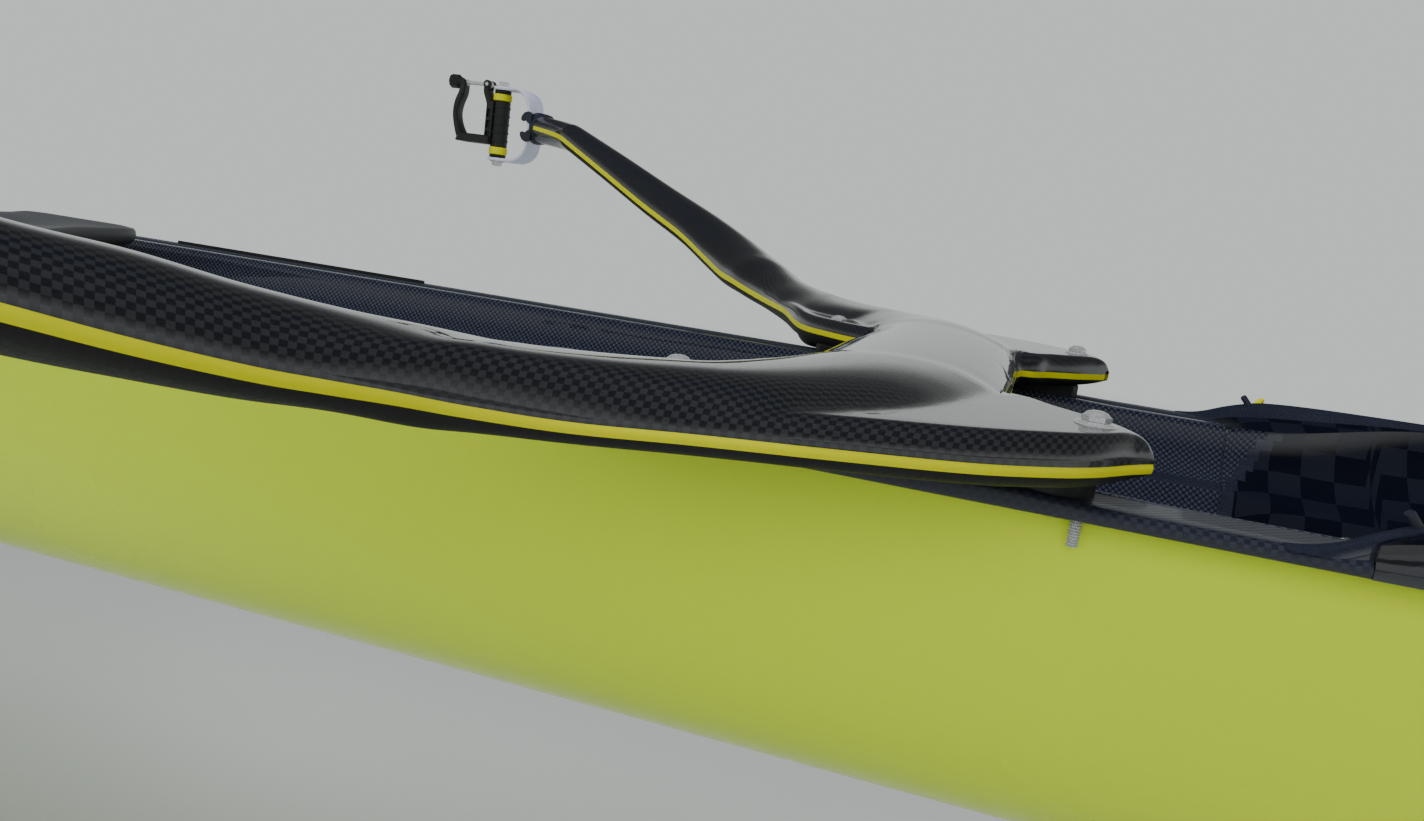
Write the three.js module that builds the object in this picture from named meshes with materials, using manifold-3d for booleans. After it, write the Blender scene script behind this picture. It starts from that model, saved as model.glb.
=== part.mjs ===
// A racing double scull at full size, in millimetres.
// +X points to the bow, +Y to port and +Z up. The origin is amidships on the centreline, at the waterline
// with two scullers aboard.
import * as THREE from "three";
import { mergeVertices } from "three/addons/utils/BufferGeometryUtils.js";
import Module from "manifold-3d";

const wasm = await Module();
wasm.setup();

// Clearance where two pieces rest on each other.
const GAP = 0.35;

// Hull lines.
const HULL_BOW = 5130;
const HULL_STERN = -5137;
const HALF_BEAM = 220;
const WIDE_BOW = 1200;
const WIDE_STERN = -1000;
const DRAUGHT = 125;
const STEM_RISE = 130;
const GUNWALE_TOP = 155;
const GUNWALE_THICK = 12;
const SHEER = GUNWALE_TOP - GUNWALE_THICK - GAP;
const SHEER_DROP = 45;
const SHELL_WALL = 9;
const TIP_HALF_BEAM = 7;

// Cockpit, from the stroke's foot well to the bow seat's back.
const COCKPIT_BOW = 1465;
const COCKPIT_STERN = -1750;
const RECESS_LENGTH = 385;
const RECESS_FLOOR = 85;
const RIM_LIP = 18;
const RIM_CLIMB = 22;
const RIM_WALL = 7;
const DECK_FLOOR = 80;
const WELL_FLOOR = -92;
const WELL_HALF_WIDTH = 132;
const FLANGE_OUT = 27;
const FLANGE_IN = 23;

// Rowing places: everything in a place keeps its distance to that place's pins.
const PIN_BOW_X = 420;
const SEAT_SPACING = 1460;
const PIN_HALF_SPAN = 800;
const PIN_HEIGHT = 213;
const PIN_RADIUS = 6.5;
const PIN_LENGTH = 132;
const WING_FROM_PIN = 695;
const WELL_BOW_FROM_PIN = -240;
const WELL_STERN_FROM_PIN = -680;

// Slide: tracks, wheels and seat, from the pins.
const TRACK_START = -235;
const TRACK_LENGTH = 855;
const TRACK_HALF_GAUGE = 109;
const TRACK_HALF_WIDTH = 13;
const TRACK_TOP = 84;
const TRACK_EDGE = 82;
const TREAD_HALF_WIDTH = 10;
const SEAT_FROM_PIN = -135;
const SEAT_HALF_LENGTH = 110;
const SEAT_HALF_WIDTH = 145;
const SEAT_TOP = 175;
const SEAT_BASE = 146;
const WHEEL_RADIUS = 22;
const WHEEL_HALF_WIDTH = 8;
const WHEEL_BASE_HALF = 60;
const AXLE_RADIUS = 4.2;
const AXLE_Z = TRACK_TOP + GAP + WHEEL_RADIUS;

// Stretcher: the heel end of the board, from the pins.
const HEEL_FROM_PIN = -340;
const HEEL_Z = -30;
const BOARD_LENGTH = 270;
const BOARD_ANGLE = THREE.MathUtils.degToRad(42);
const BOARD_THICK = 9;
const BOARD_HALF_WIDTH = 115;
const SHOE_LENGTH = 262;
const SHOE_HALF_GAUGE = 62;

// Gate, in its own frame: the pin is the z axis and the oar's side is -x.
const SLEEVE_RADIUS = 13.5;
const SLEEVE_BORE = 7;
const SLEEVE_HALF_HEIGHT = 36;
const GATE_SILL = -20;
const GATE_BOTTOM = -33;
const GATE_HALF_WIDTH = 20;
const KEEPER_PIVOT = { x: -25, z: 60 };
const KEEPER_RADIUS = 3;

const COLOURS = {
  shell: { color: 0xa9b43c, roughness: 0.25, metalness: 0 },
  carbon: { color: 0x14161c, roughness: 0.2, metalness: 0.1 },
  lining: { color: 0x1c2133, roughness: 0.45, metalness: 0.1 },
  moulding: { color: 0x1a1d28, roughness: 0.15, metalness: 0.1 },
  plastic: { color: 0x17181a, roughness: 0.5, metalness: 0 },
  silver: { color: 0xd4d6dc, roughness: 0.35, metalness: 0.6 },
  steel: { color: 0xa8a9a8, roughness: 0.3, metalness: 0.9 },
  rubber: { color: 0xf2f2ee, roughness: 0.6, metalness: 0 },
  seat: { color: 0x43464a, roughness: 0.5, metalness: 0 },
  shoe: { color: 0x24262b, roughness: 0.8, metalness: 0 },
};

// Geometry helpers.

function signedVolume(positions) {
  let six = 0;
  for (let i = 0; i < positions.length; i += 9) {
    const [ax, ay, az, bx, by, bz, cx, cy, cz] = positions.slice(i, i + 9);
    six += ax * (by * cz - bz * cy) + ay * (bz * cx - bx * cz) + az * (bx * cy - by * cx);
  }
  return six / 6;
}

// The triangles that fill a closed flat ring, turned the way the ring turns.
function ringFaces(ring) {
  const points = ring.map((p) => new THREE.Vector3(...p));
  const normal = new THREE.Vector3();
  points.forEach((p, i) => {
    const q = points[(i + 1) % points.length];
    normal.x += (p.y - q.y) * (p.z + q.z);
    normal.y += (p.z - q.z) * (p.x + q.x);
    normal.z += (p.x - q.x) * (p.y + q.y);
  });
  normal.normalize();
  const side = new THREE.Vector3(0.31, 0.54, 0.78).cross(normal).normalize();
  const up = normal.clone().cross(side);
  return THREE.ShapeUtils.triangulateShape(
    points.map((p) => new THREE.Vector2(p.dot(side), p.dot(up))),
    [],
  );
}

// A closed body through rings of equally many points, with both ends filled.
function loft(rings) {
  const count = rings[0].length;
  const faces = [];
  rings.slice(1).forEach((next, i) => {
    const ring = rings[i];
    for (let j = 0; j < count; j++) {
      const k = (j + 1) % count;
      faces.push([ring[j], ring[k], next[k]], [ring[j], next[k], next[j]]);
    }
  });
  const last = rings[rings.length - 1];
  ringFaces(rings[0]).forEach(([a, b, c]) => faces.push([rings[0][a], rings[0][c], rings[0][b]]));
  ringFaces(last).forEach(([a, b, c]) => faces.push([last[a], last[b], last[c]]));
  const inward = signedVolume(faces.flat(2)) < 0;
  const positions = faces.flatMap(([a, b, c]) => (inward ? [a, c, b] : [a, b, c])).flat();
  return new THREE.BufferGeometry().setAttribute(
    "position",
    new THREE.Float32BufferAttribute(positions, 3),
  );
}

// A body that follows an outline of [u, v] points, placed at each end by a function of (u, v, end).
function prism(outline, place) {
  return loft([0, 1].map((end) => outline.map(([u, v]) => place(u, v, end))));
}

function alongX(outline, from, to) {
  return prism(outline, (y, z, end) => [end ? to : from, y, z]);
}

function alongY(outline, from, to) {
  return prism(outline, (x, z, end) => [x, end ? to : from, z]);
}

function alongZ(outline, from, to) {
  return prism(outline, (x, y, end) => [x, y, end ? to : from]);
}

function rectangle(u0, v0, u1, v1) {
  return [
    [u0, v0],
    [u1, v0],
    [u1, v1],
    [u0, v1],
  ];
}

// A half outline, from its top on the port side down to the centreline, and its mirror image.
function mirrored(half) {
  return [...half, ...half.toReversed().map(([y, z]) => [-y, z])];
}

// A turned body about z, from [radius, height] points.
function turned(profile, segments) {
  const points = profile.map(([r, h]) => new THREE.Vector2(r, h));
  return new THREE.LatheGeometry(points, segments).rotateX(Math.PI / 2);
}

function rod(radius, length, segments = 16) {
  return new THREE.CylinderGeometry(radius, radius, length, segments);
}

function toSolid(geometry) {
  const loose = geometry.index ? geometry.toNonIndexed() : geometry;
  const bare = new THREE.BufferGeometry().setAttribute("position", loose.getAttribute("position"));
  const merged = mergeVertices(bare, 1e-3);
  return new wasm.Manifold(
    new wasm.Mesh({
      numProp: 3,
      vertProperties: merged.attributes.position.array,
      triVerts: new Uint32Array(merged.index.array),
    }),
  );
}

function toGeometry(solid) {
  const mesh = solid.getMesh();
  return new THREE.BufferGeometry()
    .setAttribute("position", new THREE.BufferAttribute(mesh.vertProperties, 3))
    .setIndex(new THREE.BufferAttribute(mesh.triVerts, 1));
}

function joined(...geometries) {
  return toGeometry(geometries.map(toSolid).reduce((a, b) => a.add(b)));
}

function cut(geometry, ...tools) {
  return toGeometry(tools.map(toSolid).reduce((a, b) => a.subtract(b), toSolid(geometry)));
}

function common(a, b) {
  return toGeometry(toSolid(a).intersect(toSolid(b)));
}

function addPiece(group, name, geometry, finish) {
  const mesh = new THREE.Mesh(geometry, new THREE.MeshStandardMaterial(COLOURS[finish]));
  mesh.name = name;
  group.add(mesh);
  return mesh;
}

// Hull lines as functions of x.

// How far x lies beyond the wide middle of the boat: 0 there and 1 at either end.
function towardsEnd(x, bowFrom = WIDE_BOW, sternFrom = WIDE_STERN) {
  if (x > bowFrom) return (x - bowFrom) / (HULL_BOW - bowFrom);
  return x < sternFrom ? (sternFrom - x) / (sternFrom - HULL_STERN) : 0;
}

function halfBeam(x) {
  return Math.max(TIP_HALF_BEAM, HALF_BEAM * (1 - towardsEnd(x) ** 1.9));
}

function keelZ(x) {
  return -DRAUGHT + STEM_RISE * towardsEnd(x) ** 2.4;
}

function sheerZ(x) {
  return SHEER - SHEER_DROP * towardsEnd(x, COCKPIT_BOW, COCKPIT_STERN) ** 1.6;
}

// Half of an ellipse from the port edge under the keel to the starboard edge, inside the shell by inset.
function hullHalfEllipse(x, inset, segments = 22) {
  return Array.from({ length: segments + 1 }, (_, i) => {
    const angle = (Math.PI * i) / segments;
    const depth = sheerZ(x) - keelZ(x) - inset;
    return [(halfBeam(x) - inset) * Math.cos(angle), sheerZ(x) - depth * Math.sin(angle)];
  });
}

const FIN_BOW = -3560;
const FIN_STERN = -3700;
const BOW_STATIONS = [COCKPIT_BOW, 1850, 2300, 2800, 3300, 3800, 4250, 4650, 4930, HULL_BOW];
const MIDDLE_STATIONS = [COCKPIT_STERN, -1300, -900, -450, 0, 600, 1150];
const STERN_STATIONS = [HULL_STERN, -4950, -4650, -4200, FIN_STERN, FIN_BOW, -3100, -2650, -2150];

// The plan of the moulded recess at an end of the cockpit: full width at the cockpit, a rounded point beyond it.
function recessPlan(atX, direction, offset) {
  const steps = 10;
  const half = Array.from({ length: steps + 1 }, (_, i) => {
    const angle = (Math.PI / 2) * (i / steps);
    const reach = (RECESS_LENGTH + offset) * Math.sin(angle) ** 1.1;
    const width = (halfBeam(atX) - FLANGE_IN + offset) * Math.cos(angle) ** 0.8;
    return [atX + direction * reach, width];
  });
  half[0][0] = atX - direction * offset;
  half[steps][1] = 0;
  return [...half, ...half.slice(0, -1).toReversed().map(([x, y]) => [x, -y])];
}

function hullShell() {
  const stations = [...STERN_STATIONS, ...MIDDLE_STATIONS, ...BOW_STATIONS];
  const outer = loft(stations.map((x) => hullHalfEllipse(x, 0).map(([y, z]) => [x, y, z])));
  const cavityRing = (x) => {
    const ellipse = hullHalfEllipse(x, SHELL_WALL);
    const [edge] = ellipse[0];
    return [[edge, GUNWALE_TOP], ...ellipse, [-edge, GUNWALE_TOP]].map(([y, z]) => [x, y, z]);
  };
  const cavity = loft([...MIDDLE_STATIONS, COCKPIT_BOW].map(cavityRing));
  const bowRecess = alongZ(recessPlan(COCKPIT_BOW, 1, GAP), RECESS_FLOOR - GAP, 300);
  const sternRecess = alongZ(recessPlan(COCKPIT_STERN, -1, GAP), RECESS_FLOOR - GAP, 300);
  return cut(outer, cavity, bowRecess, sternRecess);
}

// The inside walls of the cockpit, from the gunwale's inner edge down to the slide deck.
function liningHalf(x) {
  const edge = halfBeam(x) - FLANGE_IN;
  return [
    [edge, GUNWALE_TOP],
    [edge, 138],
    [edge - 9, 120],
    [edge - 28, 103],
    [edge - 36, 98],
    [edge - 42, 88],
    [edge - 48, DECK_FLOOR],
  ];
}

function footWellHalf() {
  return [
    [WELL_HALF_WIDTH, DECK_FLOOR + 5],
    [WELL_HALF_WIDTH - 2, 20],
    [WELL_HALF_WIDTH - 8, -40],
    [95, -76],
    [60, WELL_FLOOR],
  ];
}

function cockpitLiner() {
  const inset = SHELL_WALL + GAP;
  const body = loft(
    [COCKPIT_STERN + GAP, ...MIDDLE_STATIONS.slice(1), COCKPIT_BOW - GAP].map((x) =>
      hullHalfEllipse(x, inset).map(([y, z]) => [x, y, z]),
    ),
  );
  const hollow = loft(
    [COCKPIT_STERN - 5, ...MIDDLE_STATIONS.slice(1), COCKPIT_BOW + 5].map((x) =>
      mirrored(liningHalf(x)).map(([y, z]) => [x, y, z]),
    ),
  );
  const wells = placePins().map((pinX) =>
    alongX(mirrored(footWellHalf()), pinX + WELL_STERN_FROM_PIN, pinX + WELL_BOW_FROM_PIN),
  );
  return cut(body, hollow, ...wells);
}

function placePins() {
  return [PIN_BOW_X, PIN_BOW_X - SEAT_SPACING];
}

// The flange along one side, with its rounded outer edge, and a raised pad under each wing's foot.
function gunwale(side) {
  const bottom = SHEER + GAP;
  const section = (x) => {
    const inner = halfBeam(x) - FLANGE_IN + GAP;
    const outer = halfBeam(x) + FLANGE_OUT;
    return [
      [inner, bottom],
      [outer - 2, bottom],
      [outer, bottom + 4],
      [outer - 2, GUNWALE_TOP - 3],
      [outer - 8, GUNWALE_TOP],
      [inner, GUNWALE_TOP],
    ].map(([y, z]) => [x, side * y, z]);
  };
  const stations = [COCKPIT_STERN + GAP, ...MIDDLE_STATIONS.slice(1), COCKPIT_BOW - GAP];
  const pads = placePins().map((pinX) => footPad(pinX + WING_FROM_PIN, side));
  return joined(loft(stations.map(section)), ...pads);
}

const PAD_BOW = 236;
const PAD_STERN = -45;
const PAD_TOP = GUNWALE_TOP + 8;

function footPad(wingX, side) {
  const inner = halfBeam(wingX) - 20;
  const outer = inner + 44;
  const outline = [
    [PAD_STERN, inner + 8],
    [PAD_STERN + 8, inner],
    [PAD_BOW - 16, inner],
    [PAD_BOW - 2, inner + 12],
    [PAD_BOW, inner + 22],
    [PAD_BOW - 4, outer - 10],
    [PAD_BOW - 20, outer],
    [PAD_STERN + 8, outer],
    [PAD_STERN, outer - 8],
  ];
  return alongZ(
    outline.map(([x, y]) => [wingX + x, side * y]),
    GUNWALE_TOP - 4,
    PAD_TOP,
  );
}

// A closed deck from the cockpit's end to the tip, cambered, with the recess's plan cut out of it.
function deck(stations, cockpitEnd, direction) {
  const section = (x) => {
    const along = Math.min(1, Math.abs(x - cockpitEnd) / 700);
    const overhang = THREE.MathUtils.lerp(FLANGE_OUT, 5, along);
    const half = halfBeam(x) + overhang;
    const bottom = sheerZ(x) + GAP;
    const far = towardsEnd(x, COCKPIT_BOW, COCKPIT_STERN);
    const edge = THREE.MathUtils.lerp(GUNWALE_THICK, 6, far);
    const crown = THREE.MathUtils.lerp(30, 6, far ** 1.5) * (0.35 + 0.65 * along);
    const steps = 12;
    const top = Array.from({ length: steps + 1 }, (_, i) => {
      const across = -Math.cos((Math.PI * i) / steps);
      return [half * across, bottom + edge + crown * (1 - across ** 2)];
    });
    return [[half, bottom], [-half, bottom], ...top].map(([y, z]) => [x, y, z]);
  };
  const recess = alongZ(recessPlan(cockpitEnd, direction, GAP), 0, 400);
  return cut(loft(stations.map(section)), recess);
}

// The moulded end of the cockpit: a bowl whose floor climbs to the deck, inside a rim that stands proud of it.
function coaming(cockpitEnd, direction) {
  const plan = recessPlan(cockpitEnd, direction, 0);
  plan[0][0] += direction * GAP;
  plan[plan.length - 1][0] += direction * GAP;
  const rimZ = (x) => {
    const beyond = direction * (x - cockpitEnd);
    const lip = RIM_LIP * THREE.MathUtils.smoothstep(beyond, -25, 35);
    return GUNWALE_TOP + lip + RIM_CLIMB * THREE.MathUtils.smoothstep(beyond, 20, 350);
  };
  const block = alongZ(plan, RECESS_FLOOR, 260);
  const shares = [-0.03, 0.05, 0.12, 0.3, 0.5, 0.7, 0.86, 1.05];
  const over = loft(
    shares.map((share) => {
      const x = cockpitEnd + direction * share * RECESS_LENGTH;
      return rectangle(-300, rimZ(x), 300, 300).map(([y, z]) => [x, y, z]);
    }),
  );
  const bowl = loft(
    shares.map((share) => {
      const x = cockpitEnd + direction * share * RECESS_LENGTH;
      const taper = Math.sqrt(Math.max(0.002, 1 - Math.max(0, share) ** 1.9));
      const width = (halfBeam(cockpitEnd) - FLANGE_IN - RIM_WALL) * taper;
      const floor = RECESS_FLOOR + 10 + 92 * THREE.MathUtils.smoothstep(share, 0.1, 1.02);
      const half = [
        [width, 320],
        [width, rimZ(x) - 6],
        [width * 0.94, THREE.MathUtils.lerp(rimZ(x), floor, 0.4)],
        [width * 0.8, THREE.MathUtils.lerp(rimZ(x), floor, 0.8)],
        [width * 0.55, floor],
      ];
      return mirrored(half).map(([y, z]) => [x, y, z]);
    }),
  );
  return cut(block, over, bowl);
}

// A flattened rubber ball on the stem, turned about the boat's length.
function bowBall() {
  const profile = [
    [0, 0],
    [15, 0],
    [20, 6],
    [21, 13],
    [18.5, 23],
    [11, 30],
    [0, 33],
  ];
  return turned(profile, 14).rotateY(Math.PI / 2);
}

function finPlate() {
  const root = [
    [FIN_BOW, keelZ(FIN_BOW) - GAP],
    [FIN_STERN, keelZ(FIN_STERN) - GAP],
  ];
  const depth = 92;
  const tip = [
    [FIN_STERN + 6, root[1][1] - depth * 0.9],
    [FIN_STERN + 24, root[1][1] - depth],
    [FIN_STERN + 60, root[1][1] - depth],
    [FIN_BOW - 40, root[1][1] - depth * 0.8],
  ];
  return alongY([...root, ...tip], -2, 2);
}

// One wing: half-wing stations from the nose of the foot to the arm's end, from the wing's own origin midway
// between its rear bolts at gunwale height. Columns: inner edge x, y, z; outer edge x, y, z; rise; drop; and
// how far the crest lies from the outer edge, as a share of the way to the inner one.
const HALF_WING = [
  [252, 226, 18, 255, 231, 18, 4, 3, 0.5],
  [240, 207, 18, 243, 249, 18, 12, 7, 0.5],
  [222, 186, 18, 224, 277, 18, 16, 9, 0.5],
  [200, 163, 18, 200, 300, 18, 18, 9.5, 0.5],
  [177, 139, 18, 165, 326, 18, 20, 9.5, 0.5],
  [110, 134, 18, 108, 351, 18, 25, 9.5, 0.5],
  [43, 181, 18, 53, 364, 18, 26, 9.5, 0.36],
  [0, 207, 18, 5, 381, 18, 28, 9.5, 0.2],
  [-40, 247, 18.5, -33, 405, 18.5, 27, 11, 0.2],
  [-72, 305, 26.5, -53, 430, 23, 28, 15, 0.27],
  [-140, 412, 33, -75, 468, 33, 29.5, 18, 0.5],
  [-172, 440, 40, -104, 500, 42, 30, 19, 0.5],
  [-199, 473, 46, -134, 530, 52, 31, 20, 0.5],
  [-238, 520, 61.5, -180, 580, 68.5, 31, 20, 0.5],
  [-291, 568, 86, -247, 632, 93, 30.5, 19, 0.5],
  [-368, 619, 117, -332, 681, 122.5, 30, 18, 0.5],
  [-459, 671, 158, -427, 729, 157, 29.5, 17, 0.5],
  [-550, 724, 198, -523, 776, 191, 27, 16, 0.5],
];
const COLLAR_RADIUS = 21;
const BRACKET_DEPTH = 64;
const WING_HEIGHT = GUNWALE_TOP;

const STEPS_OVER = 9;
const STEPS_UNDER = 7;

// The lower this is, the flatter the top of a lens and the rounder its shoulders.
const LENS_FULLNESS = 0.4;

// A lens through two edge points, domed above and below them, with its crest a share of the way across.
function lens(inner, outer, rise, drop, crest = 0.5) {
  const lean = Math.log(0.5) / Math.log(crest);
  const between = (share, lift) =>
    outer.map((v, axis) => v + (inner[axis] - v) * share + (axis === 2 ? lift : 0));
  const top = Array.from({ length: STEPS_OVER }, (_, i) => {
    const share = (1 - Math.cos((Math.PI * i) / STEPS_OVER)) / 2;
    return between(share, rise * Math.sin(Math.PI * share ** lean) ** LENS_FULLNESS);
  });
  const bottom = Array.from({ length: STEPS_UNDER }, (_, i) => {
    const angle = (Math.PI * i) / STEPS_UNDER;
    return between((1 + Math.cos(angle)) / 2, -drop * Math.sin(angle) ** 0.8);
  });
  return [...top, ...bottom];
}

// A ring of the collar, its points in step with the lens's points.
function collarRing(x) {
  const at = (angle) => [
    x,
    PIN_HALF_SPAN + COLLAR_RADIUS * Math.cos(angle),
    PIN_HEIGHT - 6 + COLLAR_RADIUS * Math.sin(angle),
  ];
  return [
    ...Array.from({ length: STEPS_OVER }, (_, i) => at((Math.PI * i) / STEPS_OVER)),
    ...Array.from({ length: STEPS_UNDER }, (_, i) => at(Math.PI * (1 + i / STEPS_UNDER))),
  ];
}

function halfWing(side) {
  const collarEnd = BRACKET_DEPTH - WING_FROM_PIN + GAP;
  const rings = HALF_WING.map(([ix, iy, iz, ox, oy, oz, rise, drop, crest]) =>
    lens([ix, iy, iz], [ox, oy, oz], rise, drop, crest),
  );
  rings.push(collarRing(collarEnd + 26), collarRing(collarEnd));
  return loft(rings.map((ring) => ring.map(([x, y, z]) => [x, side * y, z])));
}

// Half of the bridge between the feet: columns are y, bow edge x, stern edge x, rise, drop. Its end dies away
// inside the foot.
const HALF_BRIDGE = [
  [0, 174, 40, 30.5, 8],
  [50, 174, 41, 30.5, 8],
  [110, 172, 43, 30, 9],
  [185, 162, 43, 30, 9],
  [225, 145, 22, 28, 8],
  [265, 105, 10, 18, 5],
];

function wing() {
  const starboard = HALF_BRIDGE.slice(1).toReversed();
  const stations = [...starboard.map(([y, ...rest]) => [-y, ...rest]), ...HALF_BRIDGE];
  const bridge = loft(
    stations.map(([y, bowX, sternX, rise, drop]) => lens([sternX, y, 18], [bowX, y, 18], rise, drop)),
  );
  return joined(halfWing(1), halfWing(-1), bridge);
}

// The bracket in the pin's frame: a wide band bent round behind the gate, with a tongue over and under it.
function bracket() {
  const back = BRACKET_DEPTH;
  const band = alongY(
    [
      [-13, 58],
      [36, 58],
      [54, 50],
      [61, 32],
      [back, 8],
      [back, -26],
      [60, -42],
      [50, -54],
      [34, -58],
      [-13, -58],
      [-13, -53],
      [32, -53],
      [46, -49.5],
      [55, -39],
      [back - 5, -25],
      [back - 5, 8],
      [56, 30],
      [50, 46],
      [34, 53],
      [-13, 53],
    ],
    -25,
    25,
  );
  const plan = alongZ(
    [
      [-13, -6],
      [-6, -13],
      [8, -15],
      [40, -25],
      [back + 1, -25],
      [back + 1, 25],
      [40, 25],
      [8, 15],
      [-6, 13],
      [-13, 6],
    ],
    -70,
    70,
  );
  const bore = rod(PIN_RADIUS + GAP, 160).rotateX(Math.PI / 2);
  return cut(common(band, plan), bore);
}

function gate() {
  const sleeve = turned(
    [
      [SLEEVE_BORE, -SLEEVE_HALF_HEIGHT],
      [SLEEVE_RADIUS, -SLEEVE_HALF_HEIGHT],
      [SLEEVE_RADIUS, SLEEVE_HALF_HEIGHT],
      [SLEEVE_BORE, SLEEVE_HALF_HEIGHT],
      [SLEEVE_BORE, -SLEEVE_HALF_HEIGHT],
    ],
    20,
  );
  const face = alongZ(rectangle(-19, -15, -8, 15), GATE_BOTTOM, 34);
  const neck = alongY(
    [
      [-10, 14],
      [-19, 10],
      [-31, 44],
      [-31.5, 62],
      [-28, 66],
      [-22, 66],
      [-19, 60],
      [-19, 48],
      [-9, 34],
    ],
    -10,
    10,
  );
  const fork = alongY(rectangle(-34, 50, -18, 70), -4.5, 4.5);
  const sill = alongY(rectangle(-70, GATE_BOTTOM, -9, GATE_SILL), -GATE_HALF_WIDTH, GATE_HALF_WIDTH);
  const post = alongY(
    [
      [-60, GATE_BOTTOM],
      [-72, GATE_BOTTOM],
      [-81, -8],
      [-84, 14],
      [-80, 36],
      [-76, 44],
      [-76, 64],
      [-66, 64],
      [-64, 46],
      [-71, 30],
      [-74, 12],
      [-72, -4],
      [-64, -18],
      [-60, GATE_SILL],
    ],
    -11,
    11,
  );
  const bore = rod(SLEEVE_BORE, 120, 20).rotateX(Math.PI / 2);
  const rest = KEEPER_PIVOT.z - KEEPER_RADIUS - GAP;
  const slot = alongY(rectangle(-80, rest, -60, 70), -5, 5);
  return cut(joined(sleeve, face, cut(neck, fork), sill, cut(post, slot)), bore);
}

function keeper() {
  const eye = rod(5.5, 8, 14);
  const stem = rod(KEEPER_RADIUS, 68, 12)
    .rotateZ(Math.PI / 2)
    .translate(-36, 0, 0);
  const nut = rod(11, 16, 12)
    .rotateZ(Math.PI / 2)
    .translate(-62, 0, 0);
  return joined(eye, stem, nut);
}

// Seat on its carriage: origin on the seat's middle at the height of the boat's frame.
function seat() {
  const columns = [0, 0.28, 0.5, 0.72, 1];
  const dish = [0, -7, -3, -7, 0];
  const across = columns.map((share) => (share - 0.5) * 2 * SEAT_HALF_WIDTH);
  const lengthwise = [
    { x: -SEAT_HALF_LENGTH, top: -9, deep: 0.2, wide: 0.9 },
    { x: -70, top: -2, deep: 0.8, wide: 1 },
    { x: 0, top: 0, deep: 1, wide: 1 },
    { x: 70, top: 0, deep: 0.8, wide: 1 },
    { x: SEAT_HALF_LENGTH, top: -5, deep: 0.1, wide: 0.9 },
  ];
  const pan = loft(
    lengthwise.map(({ x, top, deep, wide }) => {
      const upper = across.map((y, i) => [x, y * wide, SEAT_TOP + top + dish[i] * deep]);
      const lower = [0.8, -0.8].map((share) => [x, share * SEAT_HALF_WIDTH, SEAT_BASE]);
      return [...upper, ...lower];
    }),
  );
  const hole = (x) => rod(AXLE_RADIUS + 0.6, 30, 12).translate(x, 0, AXLE_Z);
  const cheek = (side) => {
    const plate = alongY(
      [
        [-78, 94],
        [-66, SEAT_BASE + 4],
        [66, SEAT_BASE + 4],
        [78, 94],
        [42, 94],
        [30, 124],
        [-30, 124],
        [-42, 94],
      ],
      -3,
      3,
    );
    return cut(plate, hole(-WHEEL_BASE_HALF), hole(WHEEL_BASE_HALF)).translate(0, side * 88, 0);
  };
  const beam = alongY(rectangle(-14, 130, 14, SEAT_BASE + 2), -88, 88);
  return joined(pan, cheek(1), cheek(-1), beam);
}

function axle() {
  const inner = TRACK_HALF_GAUGE - WHEEL_HALF_WIDTH;
  const outer = TRACK_HALF_GAUGE + WHEEL_HALF_WIDTH;
  const half = [
    [AXLE_RADIUS, inner],
    [WHEEL_RADIUS - 2, inner],
    [WHEEL_RADIUS, inner + 2],
    [WHEEL_RADIUS, outer - 2],
    [WHEEL_RADIUS - 2, outer],
    [0, outer],
  ];
  const profile = [...half.toReversed().map(([r, h]) => [r, -h]), ...half];
  return turned(profile, 18).rotateX(Math.PI / 2);
}

// A low rail with chamfered sides and a flat tread for the wheels.
function track() {
  const section = [
    [-TRACK_HALF_WIDTH, DECK_FLOOR + GAP],
    [TRACK_HALF_WIDTH, DECK_FLOOR + GAP],
    [TRACK_HALF_WIDTH, TRACK_EDGE],
    [TREAD_HALF_WIDTH, TRACK_TOP],
    [-TREAD_HALF_WIDTH, TRACK_TOP],
    [-TRACK_HALF_WIDTH, TRACK_EDGE],
  ];
  return alongX(section, 0, TRACK_LENGTH);
}

// Stretcher: origin at the board's heel end, in the boat's axes.
function stretcher() {
  const along = [-Math.cos(BOARD_ANGLE), Math.sin(BOARD_ANGLE)];
  const across = [Math.sin(BOARD_ANGLE), Math.cos(BOARD_ANGLE)];
  const at = (s, n) => [along[0] * s + across[0] * n, along[1] * s + across[1] * n];
  const board = alongY(
    [at(0, 0), at(BOARD_LENGTH, 0), at(BOARD_LENGTH, -BOARD_THICK), at(0, -BOARD_THICK)],
    -BOARD_HALF_WIDTH,
    BOARD_HALF_WIDTH,
  );
  const barRadius = 10;
  const [barX, barZ] = at(212, -BOARD_THICK - barRadius + 3);
  const bar = rod(barRadius, 262, 14).translate(barX, 0, barZ);
  const ledge = DECK_FLOOR + GAP - HEEL_Z;
  const block = (side) =>
    alongY(rectangle(barX - 20, ledge, barX + 20, barZ + 12), side * 130, side * 138);
  const carrier = (side) =>
    alongY(rectangle(barX - 12, barZ - 8, barX + 12, barZ + 8), side * 112, side * 134);
  const floor = WELL_FLOOR + GAP - HEEL_Z;
  const [footX, footZ] = at(40, -BOARD_THICK + 1);
  const strut = alongY(
    [
      [footX - 10, footZ + 11],
      [footX - 10, floor + 12],
      [footX - 26, floor + 12],
      [footX - 26, floor],
      [footX + 26, floor],
      [footX + 26, floor + 12],
      [footX + 10, floor + 12],
      [footX + 10, footZ - 7],
    ],
    -14,
    14,
  );
  return joined(board, bar, block(1), block(-1), carrier(1), carrier(-1), strut);
}

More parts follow.
